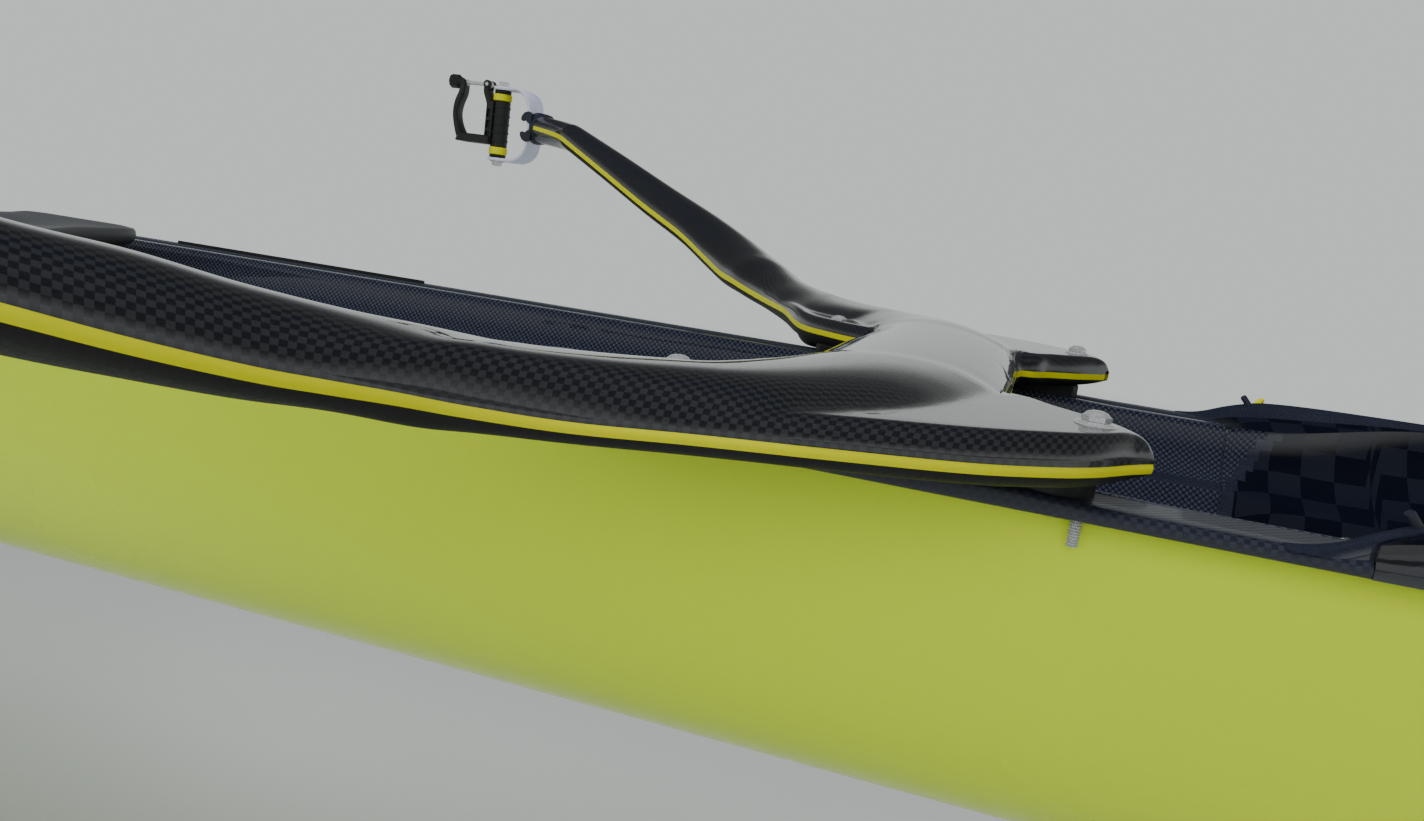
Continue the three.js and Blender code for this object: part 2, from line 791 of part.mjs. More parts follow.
// A shoe with its sole on the board: columns are distance from the heel, half width, height of the upper.
const SHOE = [
  [0, 26, 46],
  [14, 32, 60],
  [60, 34, 66],
  [105, 35, 64],
  [150, 40, 50],
  [200, 44, 40],
  [235, 40, 32],
  [SHOE_LENGTH, 22, 20],
];

function shoe() {
  const rings = SHOE.map(([s, half, height]) => {
    const steps = 10;
    const top = Array.from({ length: steps + 1 }, (_, i) => {
      const angle = (Math.PI * i) / steps;
      return [-s, half * Math.cos(angle), 6 + (height - 6) * Math.sin(angle)];
    });
    return [[-s, half * 0.9, 0], ...top, [-s, -half * 0.9, 0]];
  });
  return loft(rings);
}

// Assembly.

const boat = new THREE.Group();

addPiece(boat, "hull_shell", hullShell(), "shell");
addPiece(boat, "bow_deck", deck(BOW_STATIONS, COCKPIT_BOW, 1), "moulding");
addPiece(boat, "stern_deck", deck([...STERN_STATIONS, COCKPIT_STERN], COCKPIT_STERN, -1), "moulding");
addPiece(boat, "gunwale_port", gunwale(1), "carbon");
addPiece(boat, "gunwale_starboard", gunwale(-1), "carbon");
addPiece(boat, "cockpit_liner", cockpitLiner(), "lining");
addPiece(boat, "bow_coaming", coaming(COCKPIT_BOW, 1), "moulding");
addPiece(boat, "stern_coaming", coaming(COCKPIT_STERN, -1), "moulding");
addPiece(boat, "bow_ball", bowBall(), "rubber").position.set(HULL_BOW + GAP, 0, 58);
addPiece(boat, "fin", finPlate(), "plastic");

const SIDES = [
  { name: "port", y: 1 },
  { name: "starboard", y: -1 },
];

function addRigger(place, label) {
  const wingPiece = addPiece(place, `wing_${label}`, wing(), "carbon");
  wingPiece.position.set(WING_FROM_PIN, 0, WING_HEIGHT);
  for (const { name, y } of SIDES) {
    const pinGroup = new THREE.Group();
    pinGroup.position.set(0, y * PIN_HALF_SPAN, GUNWALE_TOP + PIN_HEIGHT);
    place.add(pinGroup);
    addPiece(pinGroup, `bracket_${label}_${name}`, bracket(), "silver");
    const pin = addPiece(pinGroup, `pin_${label}_${name}`, rod(PIN_RADIUS, PIN_LENGTH), "steel");
    pin.rotation.x = Math.PI / 2;
    addPiece(pinGroup, `gate_${label}_${name}`, gate(), "plastic");
    const bar = addPiece(pinGroup, `keeper_${label}_${name}`, keeper(), "steel");
    bar.position.set(KEEPER_PIVOT.x, 0, KEEPER_PIVOT.z);
  }
}

function addSlide(place, label) {
  for (const { name, y } of SIDES) {
    const rail = addPiece(place, `track_${label}_${name}`, track(), "silver");
    rail.position.set(TRACK_START, y * TRACK_HALF_GAUGE, 0);
  }
  const seatGroup = new THREE.Group();
  seatGroup.position.x = SEAT_FROM_PIN;
  place.add(seatGroup);
  addPiece(seatGroup, `seat_${label}`, seat(), "seat");
  for (const [end, x] of [
    ["fore", WHEEL_BASE_HALF],
    ["aft", -WHEEL_BASE_HALF],
  ]) {
    addPiece(seatGroup, `axle_${label}_${end}`, axle(), "plastic").position.set(x, 0, AXLE_Z);
  }
}

function addStretcher(place, label) {
  const group = new THREE.Group();
  group.position.set(HEEL_FROM_PIN, 0, HEEL_Z);
  place.add(group);
  addPiece(group, `stretcher_${label}`, stretcher(), "carbon");
  for (const { name, y } of SIDES) {
    const holder = new THREE.Group();
    holder.rotation.y = BOARD_ANGLE;
    holder.position.set(GAP * Math.sin(BOARD_ANGLE), y * SHOE_HALF_GAUGE, GAP * Math.cos(BOARD_ANGLE));
    group.add(holder);
    addPiece(holder, `shoe_${label}_${name}`, shoe(), "shoe");
  }
}

for (const [label, pinX] of [
  ["bow", placePins()[0]],
  ["stroke", placePins()[1]],
]) {
  const place = new THREE.Group();
  place.position.x = pinX;
  boat.add(place);
  addRigger(place, label);
  addSlide(place, label);
  addStretcher(place, label);
}

export default boat;
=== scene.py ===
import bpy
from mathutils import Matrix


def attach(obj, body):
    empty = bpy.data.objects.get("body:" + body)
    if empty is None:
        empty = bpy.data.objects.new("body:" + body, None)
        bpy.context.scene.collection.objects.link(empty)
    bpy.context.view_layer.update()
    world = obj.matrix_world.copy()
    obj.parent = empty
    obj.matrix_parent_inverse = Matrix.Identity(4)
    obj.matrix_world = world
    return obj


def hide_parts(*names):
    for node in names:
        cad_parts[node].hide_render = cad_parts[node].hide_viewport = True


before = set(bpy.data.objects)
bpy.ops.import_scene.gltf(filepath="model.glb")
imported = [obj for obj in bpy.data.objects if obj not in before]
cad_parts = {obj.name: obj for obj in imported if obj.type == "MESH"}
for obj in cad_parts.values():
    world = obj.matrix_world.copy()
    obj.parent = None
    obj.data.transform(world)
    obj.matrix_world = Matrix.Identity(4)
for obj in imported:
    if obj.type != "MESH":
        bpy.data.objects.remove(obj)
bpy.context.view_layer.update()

# A racing double scull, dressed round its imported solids. Tables are in millimetres and meshes in metres,
# with +X to the bow, +Y to port, +Z up and the origin amidships at the waterline.
import math

import bmesh
import bpy
from mathutils import Matrix, Vector

MM = 0.001
WELD = 2e-6
CREASE = 38
SIDES = (("port", 1), ("starboard", -1))
# The two rowing places, with the x of their gates' pins.
PLACES = (("bow", 420), ("stroke", -1040))


# Camera: the place and turn of the photograph's.

PHOTO_WIDTH, FOCAL_PIXELS, SENSOR_WIDTH = 1424, 1075.319, 36
CAMERA_SPOT = (1.30068, -0.79376, 0.26601)
CAMERA_TURN = (0.283858, 0.175690, 0.133610)


def aim_camera():
    yaw, pitch, roll = CAMERA_TURN
    ahead = Vector((-math.sin(yaw) * math.cos(pitch), math.cos(yaw) * math.cos(pitch), -math.sin(pitch)))
    level = Vector((math.cos(yaw), math.sin(yaw), 0))
    above = level.cross(ahead)
    right = level * math.cos(roll) + above * math.sin(roll)
    up = above * math.cos(roll) - level * math.sin(roll)
    lens = bpy.data.cameras.new("camera")
    lens.sensor_width = SENSOR_WIDTH
    lens.lens = FOCAL_PIXELS * SENSOR_WIDTH / PHOTO_WIDTH
    lens.clip_start = 0.02
    lens.clip_end = 200
    camera = bpy.data.objects.new("camera", lens)
    bpy.context.scene.collection.objects.link(camera)
    turn = Matrix((right, up, -ahead)).transposed().to_4x4()
    camera.matrix_world = Matrix.Translation(CAMERA_SPOT) @ turn
    bpy.context.scene.camera = camera


aim_camera()


# Numbers and curves.

def lerp(a, b, share):
    return a + (b - a) * share


def smooth(value, low, high):
    share = min(1, max(0, (value - low) / (high - low)))
    return share * share * (3 - 2 * share)


def through(rows, t):
    """Values on the smooth curve through rows of numbers, at t rows from the first."""
    i = min(max(int(t), 0), len(rows) - 2)
    s = t - i
    near = [rows[min(max(i + k, 0), len(rows) - 1)] for k in (-1, 0, 1, 2)]
    return [
        b + 0.5 * s * (c - a + s * (2 * a - 5 * b + 4 * c - d + s * (3 * (b - c) + d - a)))
        for a, b, c, d in zip(*near)
    ]


def curve(rows, steps):
    """The smooth curve through rows, as points with that many steps from row to row."""
    count = (len(rows) - 1) * steps
    return [through(rows, i / steps) for i in range(count + 1)]


def arc(radius, start, end, steps, centre=(0, 0)):
    """Points on a circle, from one angle in degrees to another."""
    turns = [math.radians(lerp(start, end, i / steps)) for i in range(steps + 1)]
    return [(centre[0] + radius * math.cos(a), centre[1] + radius * math.sin(a)) for a in turns]


def distance(p, q):
    return (Vector(p) - Vector(q)).length


# Meshes.

def make(name, points, faces, cloth=None, tints=None, crease=CREASE):
    """A piece from points in millimetres. cloth holds each point's place along and across the fabric, and
    tints the number of each face's finish."""
    mesh = bpy.data.meshes.new(name)
    mesh.from_pydata([Vector(p) * MM for p in points], [], faces)
    if cloth:
        layer = mesh.attributes.new("cloth", "FLOAT_VECTOR", "POINT")
        layer.data.foreach_set("vector", [c * MM for along, across in cloth for c in (along, across, 0)])
    if tints:
        mesh.polygons.foreach_set("material_index", tints)
    work = bmesh.new()
    work.from_mesh(mesh)
    bmesh.ops.remove_doubles(work, verts=work.verts, dist=WELD)
    bmesh.ops.recalc_face_normals(work, faces=work.faces)
    work.to_mesh(mesh)
    work.free()
    mesh.shade_smooth()
    if crease:
        mesh.set_sharp_from_angle(angle=math.radians(crease))
    piece = bpy.data.objects.new(name, mesh)
    bpy.context.scene.collection.objects.link(piece)
    return piece


def skin(name, rings, caps=True, loop=False, tints=None, crease=CREASE):
    """A body through rings of equally many points. tints gives each step round a ring its finish."""
    count = len(rings[0])
    along = [0]
    middles = [sum((Vector(p) for p in ring), Vector()) / count for ring in rings]
    for a, b in zip(middles, middles[1:]):
        along.append(along[-1] + (b - a).length)
    cloth, faces, looks = [], [], []
    for run, ring in zip(along, rings):
        across = 0
        for p, q in zip(ring, [*ring[1:], ring[-1]]):
            cloth.append((run, across))
            across += distance(p, q)
    for i in range(len(rings) if loop else len(rings) - 1):
        a, b = i * count, (i + 1) % len(rings) * count
        for j in range(count):
            k = (j + 1) % count
            faces.append((a + j, a + k, b + k, b + j))
            looks.append(tints[j] if tints else 0)
    if caps and not loop:
        last = (len(rings) - 1) * count
        faces += [tuple(range(count - 1, -1, -1)), tuple(range(last, last + count))]
        looks += [0, 0]
    return make(name, [p for ring in rings for p in ring], faces, cloth, looks, crease)


EDGE_ANGLE = 28


def soften(piece, width, steps=2):
    """Rounds a piece's edges over."""
    edge = piece.modifiers.new("edge", "BEVEL")
    edge.width = width * MM
    edge.segments = steps
    edge.limit_method = "ANGLE"
    edge.angle_limit = math.radians(EDGE_ANGLE)
    edge.harden_normals = True
    return piece


def plate(name, outline, low, high, facing="y", at=(0, 0, 0), edge=0.8):
    """A flat piece cut to an outline, from low to high across it, with its edges rounded over."""
    place = {"y": lambda u, v, h: (u, h, v), "z": lambda u, v, h: (u, v, h)}[facing]
    rings = [[tuple(Vector(place(u, v, h)) + Vector(at)) for u, v in outline] for h in (low, high)]
    piece = skin(name, rings, crease=None if edge else 30)
    return soften(piece, edge) if edge else piece


def bar(u0, v0, u1, v1):
    return [(u0, v0), (u1, v0), (u1, v1), (u0, v1)]


def turned(name, profile, at=(0, 0, 0), axis="z", sides=36, loop=False, crease=CREASE):
    """A turned piece from (radius, height) points about an axis through a point."""
    place = {"x": lambda a, b, h: (h, a, b), "y": lambda a, b, h: (b, h, a), "z": lambda a, b, h: (a, b, h)}[axis]
    turns = [2 * math.pi * i / sides for i in range(sides)]
    rings = [[tuple(Vector(place(radius * math.cos(a), radius * math.sin(a), height)) + Vector(at)) for a in turns]
             for radius, height in profile]
    return skin(name, rings, caps=not loop and profile[0][0] > 0, loop=loop, crease=crease)


LIMB_SIDES, LIMB_SQUARENESS = 24, 0.6


def swept(name, stations):
    """A limb along stations of (x, y, z, half width across y, half thickness), bending in the x-z plane."""
    rings = []
    for i, (x, y, z, wide, thick) in enumerate(stations):
        before, after = stations[max(i - 1, 0)], stations[min(i + 1, len(stations) - 1)]
        run = Vector((after[0] - before[0], 0, after[2] - before[2])).normalized()
        out = Vector((run.z, 0, -run.x))
        ring = []
        for k in range(LIMB_SIDES):
            a = 2 * math.pi * k / LIMB_SIDES
            c, s = math.cos(a), math.sin(a)
            across = math.copysign(abs(c) ** LIMB_SQUARENESS, c) * wide
            off = math.copysign(abs(s) ** LIMB_SQUARENESS, s) * thick
            ring.append(tuple(Vector((x, y, z)) + Vector((0, across, 0)) + out * off))
        rings.append(ring)
    return skin(name, rings)


def settled(piece):
    """The piece with its modifiers applied."""
    graph = bpy.context.evaluated_depsgraph_get()
    mesh = bpy.data.meshes.new_from_object(piece.evaluated_get(graph))
    piece.modifiers.clear()
    piece.data = mesh
    return piece


def carve(piece, tool, crease=CREASE):
    """The piece less the tool."""
    bpy.context.view_layer.update()
    step = piece.modifiers.new("carve", "BOOLEAN")
    step.operation = "DIFFERENCE"
    step.object = tool
    step.solver = "EXACT"
    settled(piece)
    bpy.data.objects.remove(tool)
    piece.data.shade_smooth()
    piece.data.set_sharp_from_angle(angle=math.radians(crease))
    return piece


def fit(piece, body, finish, slot, *stands_for):
    """Gives a piece its finish, rides it on its body and hides the solids that it stands for. The slot is not used."""
    for one in finish if isinstance(finish, (list, tuple)) else [finish]:
        piece.data.materials.append(one)
    if stands_for:
        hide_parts(*stands_for)
    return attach(piece, body)


# Finishes.

class Wire:
    """A socket in a tree of nodes, with arithmetic."""

    def __init__(self, nodes, socket):
        self.nodes = nodes
        self.socket = socket

    def math(self, operation, *others):
        return self.nodes.node("ShaderNodeMath", {"operation": operation}, dict(enumerate((self, *others))))

    def __add__(self, other):
        return self.math("ADD", other)

    def __mul__(self, other):
        return self.math("MULTIPLY", other)

    def __sub__(self, other):
        return self.math("SUBTRACT", other)

    def __rsub__(self, other):
        return self.nodes.node("ShaderNodeMath", {"operation": "SUBTRACT"}, {0: other, 1: self})

    __radd__ = __add__
    __rmul__ = __mul__


class Nodes:
    """A tree of nodes, where one call makes any of them."""

    def __init__(self, tree):
        self.tree = tree

    def node(self, kind, settings=None, inputs=None, output=0):
        made = self.tree.nodes.new(kind)
        for key, value in (settings or {}).items():
            if key == "stops":
                for i, (place, colour) in enumerate(value):
                    stop = made.color_ramp.elements[i] if i < 2 else made.color_ramp.elements.new(place)
                    stop.position, stop.color = place, colour
            else:
                setattr(made, key, value)
        for key, value in (inputs or {}).items():
            if isinstance(value, Wire):
                self.tree.links.new(value.socket, made.inputs[key])
            else:
                made.inputs[key].default_value = value
        return Wire(self, made.outputs[output])

    def blend(self, factor, first, second):
        """A colour between two, by a factor."""
        return self.node("ShaderNodeMix", {"data_type": "RGBA"}, {0: factor, 6: first, 7: second}, 2)

    def spread(self, value, low, high, start=0, end=1):
        """A value stretched from low to high onto start to end, held at both."""
        return self.node("ShaderNodeMapRange", {}, {0: value, 1: low, 2: high, 3: start, 4: end})


class Finish(Nodes):
    """A material, from constants on the shader and wires for what varies."""

    def __init__(self, name, **constants):
        self.material = bpy.data.materials.new(name)
        self.material.use_nodes = True
        super().__init__(self.material.node_tree)
        self.tree.nodes.clear()
        self.output = self.tree.nodes.new("ShaderNodeOutputMaterial")
        self.shader = self.tree.nodes.new("ShaderNodeBsdfPrincipled")
        self.tree.links.new(self.shader.outputs[0], self.output.inputs[0])
        for key, value in constants.items():
            self.shader.inputs[key.replace("_", " ").title().replace("Ior", "IOR")].default_value = value

    def place(self, scale=(1, 1, 1)):
        """The point on the boat, scaled."""
        point = self.node("ShaderNodeTexCoord", output=3)
        return self.node("ShaderNodeVectorMath", {"operation": "MULTIPLY"}, {0: point, 1: scale})

    def cloth(self, scale=(1, 1, 1)):
        """The place on the fabric, scaled."""
        point = self.node("ShaderNodeAttribute", {"attribute_name": "cloth"}, output=1)
        return self.node("ShaderNodeVectorMath", {"operation": "MULTIPLY"}, {0: point, 1: scale})

    def parts(self, vector):
        """The vector's first two numbers."""
        return [self.node("ShaderNodeSeparateXYZ", inputs={0: vector}, output=i) for i in range(2)]

    def noise(self, scale, detail=2, vector=None):
        return self.node("ShaderNodeTexNoise", {}, {
            "Vector": vector or self.place(), "Scale": scale, "Detail": detail})

    def bump(self, height, depth, strength=1.0):
        return self.node("ShaderNodeBump", {}, {"Height": height, "Distance": depth * MM, "Strength": strength})

    def done(self, **wires):
        for key, wire in wires.items():
            self.tree.links.new(wire.socket, self.shader.inputs[key.replace("_", " ").title()])
        return self.material


def grey(value, tint=(1, 1, 1)):
    return (value * tint[0], value * tint[1], value * tint[2], 1)


def gelcoat():
    paint = Finish("hull paint", roughness=0.2, coat_weight=0.3, coat_roughness=0.04, specular_ior_level=0.3)
    cloud = paint.noise(2.2, 3)
    fine = paint.noise(900, 2)
    colour = paint.blend(cloud, (0.58, 0.77, 0.0, 1), (0.64, 0.84, 0.0, 1))
    return paint.done(base_color=colour, roughness=paint.spread(cloud, 0.3, 0.7, 0.2, 0.28),
                      normal=paint.bump(fine, 0.01, 0.3))


def stripe_tape():
    tape = Finish("stripe tape", roughness=0.45, specular_ior_level=0.1)
    colour = tape.blend(tape.noise(60, 2), (0.60, 0.60, 0.0, 1), (0.68, 0.68, 0.0, 1))
    return tape.done(base_color=colour, normal=tape.bump(tape.noise(500, 2), 0.02, 0.4))


def woven(name, cell, dark, light, tint, rough, coat, depth, lie="cloth"):
    """A fabric of crossing tows under resin: each cell shows a tow that lies along it or across it, and every other
    cell is painted lighter as a painted sheen.
    """
    weave = Finish(name, coat_weight=coat, coat_roughness=0.03)
    tows = weave.cloth((1 / (cell * MM),) * 3) if lie == "cloth" else weave.place((1 / (cell * MM),) * 3)
    along, across = weave.parts(tows)
    lift = (along.math("FLOOR") + across.math("FLOOR")).math("MODULO", 2).math("ABSOLUTE")
    round_along = (along.math("FRACT") * math.pi).math("SINE")
    round_across = (across.math("FRACT") * math.pi).math("SINE")
    height = lift * round_along + (1 - lift) * round_across
    strands = weave.noise(40, 3, vector=tows)
    # Painted sheen: every other cell is painted lighter where its tows would catch the light, over a random strand
    # grain in the real weave.
    sheen_and_strands = lift * 0.7 + strands * 0.3
    colour = weave.blend(sheen_and_strands, grey(dark, tint), grey(light, tint))
    return weave.done(base_color=colour, roughness=weave.spread(sheen_and_strands, 0, 1, rough, rough + 0.22),
                      normal=weave.bump(height, depth))


def speckled(name, colour, other, rough, grain=400, depth=0.03, metallic=0.0, **constants):
    """A moulded or machined surface, with a fine grain and slight changes of colour."""
    surface = Finish(name, metallic=metallic, **constants)
    cloud = surface.noise(35, 3)
    fine = surface.noise(grain, 2)
    return surface.done(base_color=surface.blend(cloud, colour, other),
                        roughness=surface.spread(fine, 0.3, 0.7, rough, rough + 0.12),
                        normal=surface.bump(fine, depth, 0.6))


NAVY = (0.72, 0.85, 1.35)
PLAIN = (0.95, 1.0, 1.05)
SHELL = gelcoat()
STRIPE = stripe_tape()
TWILL = woven("glossy twill", 3.2, 0.008, 0.028, PLAIN, 0.32, 1.0, 0.012)
UNDERSIDE = speckled("matt underside", grey(0.008), grey(0.014), 0.55, 500, specular_ior_level=0.25)
LINING = woven("lining cloth", 2.6, 0.007, 0.075, NAVY, 0.16, 0.7, 1.1)
CHECKS = woven("wide checks", 25, 0.003, 0.012, NAVY, 0.16, 1.0, 0.02)
NAVY_GLOSS = speckled("navy gloss", grey(0.018, NAVY), grey(0.026, NAVY), 0.2, 500, 0.01, coat_weight=1.0)
FLANGE = woven("flange cloth", 3, 0.014, 0.032, NAVY, 0.4, 0.1, 0.05)
PLASTIC = speckled("black plastic", grey(0.010), grey(0.018), 0.42, 700)
COLLAR = speckled("navy plastic", grey(0.018, NAVY), grey(0.028, NAVY), 0.45, 500)
RUBBER = speckled("black rubber", grey(0.006), grey(0.012), 0.5, 300)
WHITE_RUBBER = speckled("white rubber", grey(0.75), grey(0.68), 0.6, 300)
PEARL = speckled("pearl paint", (0.74, 0.75, 0.95, 1), (0.62, 0.63, 0.80, 1), 0.34, 1500, 0.02, 0.25)
STEEL = speckled("steel", grey(0.75), grey(0.65), 0.2, 1200, 0.01, 0.6)
RAIL = speckled("anodised rail", grey(0.42), grey(0.36), 0.34, 900, 0.01, 0.9)
SEAT = speckled("seat moulding", grey(0.050, PLAIN), grey(0.070, PLAIN), 0.42, 600)
SHOE = speckled("shoe fabric", grey(0.018), grey(0.030), 0.75, 1500, 0.12)
SOLE = speckled("shoe sole", grey(0.05), grey(0.07), 0.6, 500)
WEBBING = woven("strap webbing", 1.6, 0.01, 0.03, PLAIN, 0.6, 0.0, 0.2, lie="boat")


# Hull lines, as functions of x in millimetres.

HULL_BOW, HULL_STERN = 5130, -5137
HALF_BEAM, TIP_HALF_BEAM, SHELL_WALL = 220, 7, 9
DRAUGHT, STEM_RISE = 125, 130
SHEER, SHEER_DROP = 142.65, 45
TAPER_BOW, TAPER_STERN = 1200, -1000
COCKPIT_BOW, COCKPIT_STERN = 1465, -1750
# The cockpit's edge lies inside the hull's side, and the flange reaches outside it.
EDGE_INSET, FLANGE_REACH, LIP_WIDTH = 23, 27, 9
GUNWALE_TOP = 155
GAP = 0.35
DECK_FLOOR, WELL_FLOOR = 80, -92
DECK_HALF = 138
# Each foot well's ends, from its place's pin, and how far each end slopes to both sides.
WELL_AFT, WELL_FORE, WELL_SLOPE = -680, -240, 12
RECESS_LENGTH, RECESS_FLOOR = 385, 85


def towards_end(x, bow_from=TAPER_BOW, stern_from=TAPER_STERN):
    """0 along the boat's middle, rising to 1 at either tip."""
    if x > bow_from:
        return (x - bow_from) / (HULL_BOW - bow_from)
    return (stern_from - x) / (stern_from - HULL_STERN) if x < stern_from else 0


def half_beam(x):
    return max(TIP_HALF_BEAM, HALF_BEAM * (1 - towards_end(x) ** 1.9))


def keel_z(x):
    return -DRAUGHT + STEM_RISE * towards_end(x) ** 2.4


def sheer_z(x):
    return SHEER - SHEER_DROP * towards_end(x, COCKPIT_BOW, COCKPIT_STERN) ** 1.6


def half_ellipse(x, inset, steps):
    """The hull's section, or one inside it, from port to starboard."""
    depth = sheer_z(x) - keel_z(x) - inset
    wide = half_beam(x) - inset
    turns = [math.pi * i / steps for i in range(steps + 1)]
    return [(x, wide * math.cos(a), sheer_z(x) - depth * math.sin(a)) for a in turns]


def hull_skin():
    steps, count = 72, 180
    rings = []
    for i in range(count + 1):
        x = HULL_STERN + (HULL_BOW - HULL_STERN) * (0.5 - 0.5 * math.cos(math.pi * i / count))
        inset = min(SHELL_WALL, 0.45 * half_beam(x))
        rings.append(half_ellipse(x, 0, steps) + half_ellipse(x, inset, steps)[::-1])
    return skin("hull_skin", rings)


fit(hull_skin(), "boat", SHELL, "shell", "hull_shell")


def gunwale_top(x):
    """The flange's height, a little lower at the cockpit's ends."""
    nearest = max(x - COCKPIT_BOW, COCKPIT_STERN - x)
    return GUNWALE_TOP - 3.5 * smooth(nearest, -170, -110)


def flange(name, side):
    """The flat gunwale with its rounded outer edge."""
    rings, count = [], 160
    for i in range(count + 1):
        x = lerp(COCKPIT_STERN + GAP, COCKPIT_BOW - GAP, i / count)
        inner, outer = half_beam(x) - EDGE_INSET + LIP_WIDTH + GAP, half_beam(x) + FLANGE_REACH
        top, low = gunwale_top(x), SHEER + GAP
        ring = [(inner, low), (outer - 3, low)]
        ring += [(outer - 3 + r, z) for r, z in arc(3, -80, 0, 4, (0, low + 3))]
        ring += [(outer - 5 + r, z) for r, z in arc(5, 12, 90, 7, (0, top - 5))]
        ring += [(inner + 1, top), (inner, top - 1)]
        rings.append([(x, side * y, z) for y, z in ring])
    return skin(name, rings, crease=50)


for label, side in SIDES:
    fit(flange(f"flange_{label}", side), "boat", FLANGE, "carbon", f"gunwale_{label}")


# How far towards the bow from its pins a wing's rear bolts stand. The wing's tables are measured from there.
WING_AHEAD = 695
# The rubber pads under the feet, from the rear bolts and the pads' inner line.
PAD_OUTLINE = [(-14, 12), (-8, 4), (206, 2), (222, 10), (227, 20), (222, 32), (206, 42), (-8, 42), (-14, 34)]

for place, pin_x in PLACES:
    for label, side in SIDES:
        origin_x = pin_x + WING_AHEAD
        inner = half_beam(origin_x) - 20
        outline = [(origin_x + x, side * (inner + y)) for x, y in PAD_OUTLINE]
        pad = plate(f"foot_pad_{place}_{label}", outline, GUNWALE_TOP - 5, GUNWALE_TOP + 8, "z", edge=2)
        fit(pad, "boat", RUBBER, "plastic")


# The lining's wall down to the slide deck: how far in from the cockpit's edge, and height.
LINING_WALL = [(0, 153), (0.5, 146), (2, 137), (5, 128), (10, 119), (17, 111), (24, 106), (30, 103.5), (34, 101),
               (37, 96), (40, 88), (44, 82), (50, 80)]
WALL_TOP, LEDGE_Z = 153, 103.5
# The foot well's wall: half width and height.
WELL_WALL = [(135, 79), (132.5, 70), (131.5, 40), (130, 10), (127, -20), (122, -48), (110, -68), (94, -81), (74, -89),
             (50, WELL_FLOOR), (25, WELL_FLOOR), (0, WELL_FLOOR)]


def lining():
    """The cockpit's lining: walls, slide deck and the two foot wells, as one moulding over the shell."""
    def sunk(x):
        """How much of a foot well's depth there is at x, from 0 to 1."""
        return max(smooth(x, p + WELL_AFT - WELL_SLOPE, p + WELL_AFT + WELL_SLOPE)
                   * (1 - smooth(x, p + WELL_FORE - WELL_SLOPE, p + WELL_FORE + WELL_SLOPE)) for _, p in PLACES)

    def inner_half(x):
        edge, top, well = half_beam(x) - EDGE_INSET, gunwale_top(x), sunk(x)
        wall = [(edge + LIP_WIDTH, top - 0.5), (edge + LIP_WIDTH - 2, top), (edge + 2, top - 0.8)]
        wall += [(edge - inward, min(z, top - 2)) for inward, z in LINING_WALL]
        slide_deck = [(lerp(edge - LINING_WALL[-1][0], DECK_HALF, i / 3), DECK_FLOOR) for i in (1, 2, 3)]
        return wall + slide_deck + [(y, lerp(DECK_FLOOR, z, well)) for y, z in WELL_WALL]

    spots = [COCKPIT_STERN + GAP, COCKPIT_BOW - GAP]
    spots += [lerp(spots[0], spots[1], i / 70) for i in range(1, 70)]
    for _, p in PLACES:
        spots += [p + end + step for end in (WELL_AFT, WELL_FORE) for step in range(-14, 15, 2)]
    rings = []
    # The lip's three points come before the wall's, and the flat ledge in the wall is glossy.
    ledge = {i for i, (inward, _) in enumerate(LINING_WALL, 3) if 24 <= inward < 34}
    for x in sorted(set(round(s, 2) for s in spots)):
        half = inner_half(x)
        inner = half + [(-y, z) for y, z in half[-2::-1]]
        outer = [(y, z) for _, y, z in half_ellipse(x, SHELL_WALL + GAP, len(inner) - 1)]
        rings.append([(x, y, z) for y, z in inner + outer[::-1]])
    last = 2 * len(half) - 3
    looks = [1 if j in ledge or last - j in ledge else 0 for j in range(len(rings[0]))]
    return skin("cockpit_lining", rings, crease=55, tints=looks)


fit(lining(), "boat", [LINING, NAVY_GLOSS], "lining", "cockpit_liner")


# Where the recess's rim leaves the gunwale's outer edge: rows of distance beyond the cockpit, half width, height.
FLARE = [(-38, 245.5, 152), (-26, 244.5, 153.5), (-15, 243, 156.5), (0, 240, 163), (15, 235, 168.5),
         (30, 228.5, 172.5), (60, 214, 176), (100, 199, 178.3), (150, 181, 180.5)]


def recess_width(end, beyond):
    """Half the plain recess's width at a distance beyond the cockpit's end."""
    share = min(1, max(0, beyond) / RECESS_LENGTH) ** (1 / 1.1)
    return (half_beam(end) - EDGE_INSET) * max(0, 1 - share * share) ** 0.4


def rim_z(beyond):
    """The rim's height, which climbs from the gunwale and on towards the tip."""
    return GUNWALE_TOP + 18 * smooth(beyond, -25, 35) + 22 * smooth(beyond, 20, 350)


def rim_line(end):
    """The rim from the gunwale to the tip: (distance beyond the cockpit, half width, height)."""
    rows = [tuple(row) for row in curve(FLARE, 5)]
    steps, flare_end = 56, FLARE[-1][0] + 8
    for i in range(1, steps + 1):
        beyond = RECESS_LENGTH * math.sin(math.pi / 2 * i / steps) ** 1.1
        if beyond > flare_end:
            rows.append((beyond, recess_width(end, beyond) if i < steps else 0, rim_z(beyond)))
    return rows


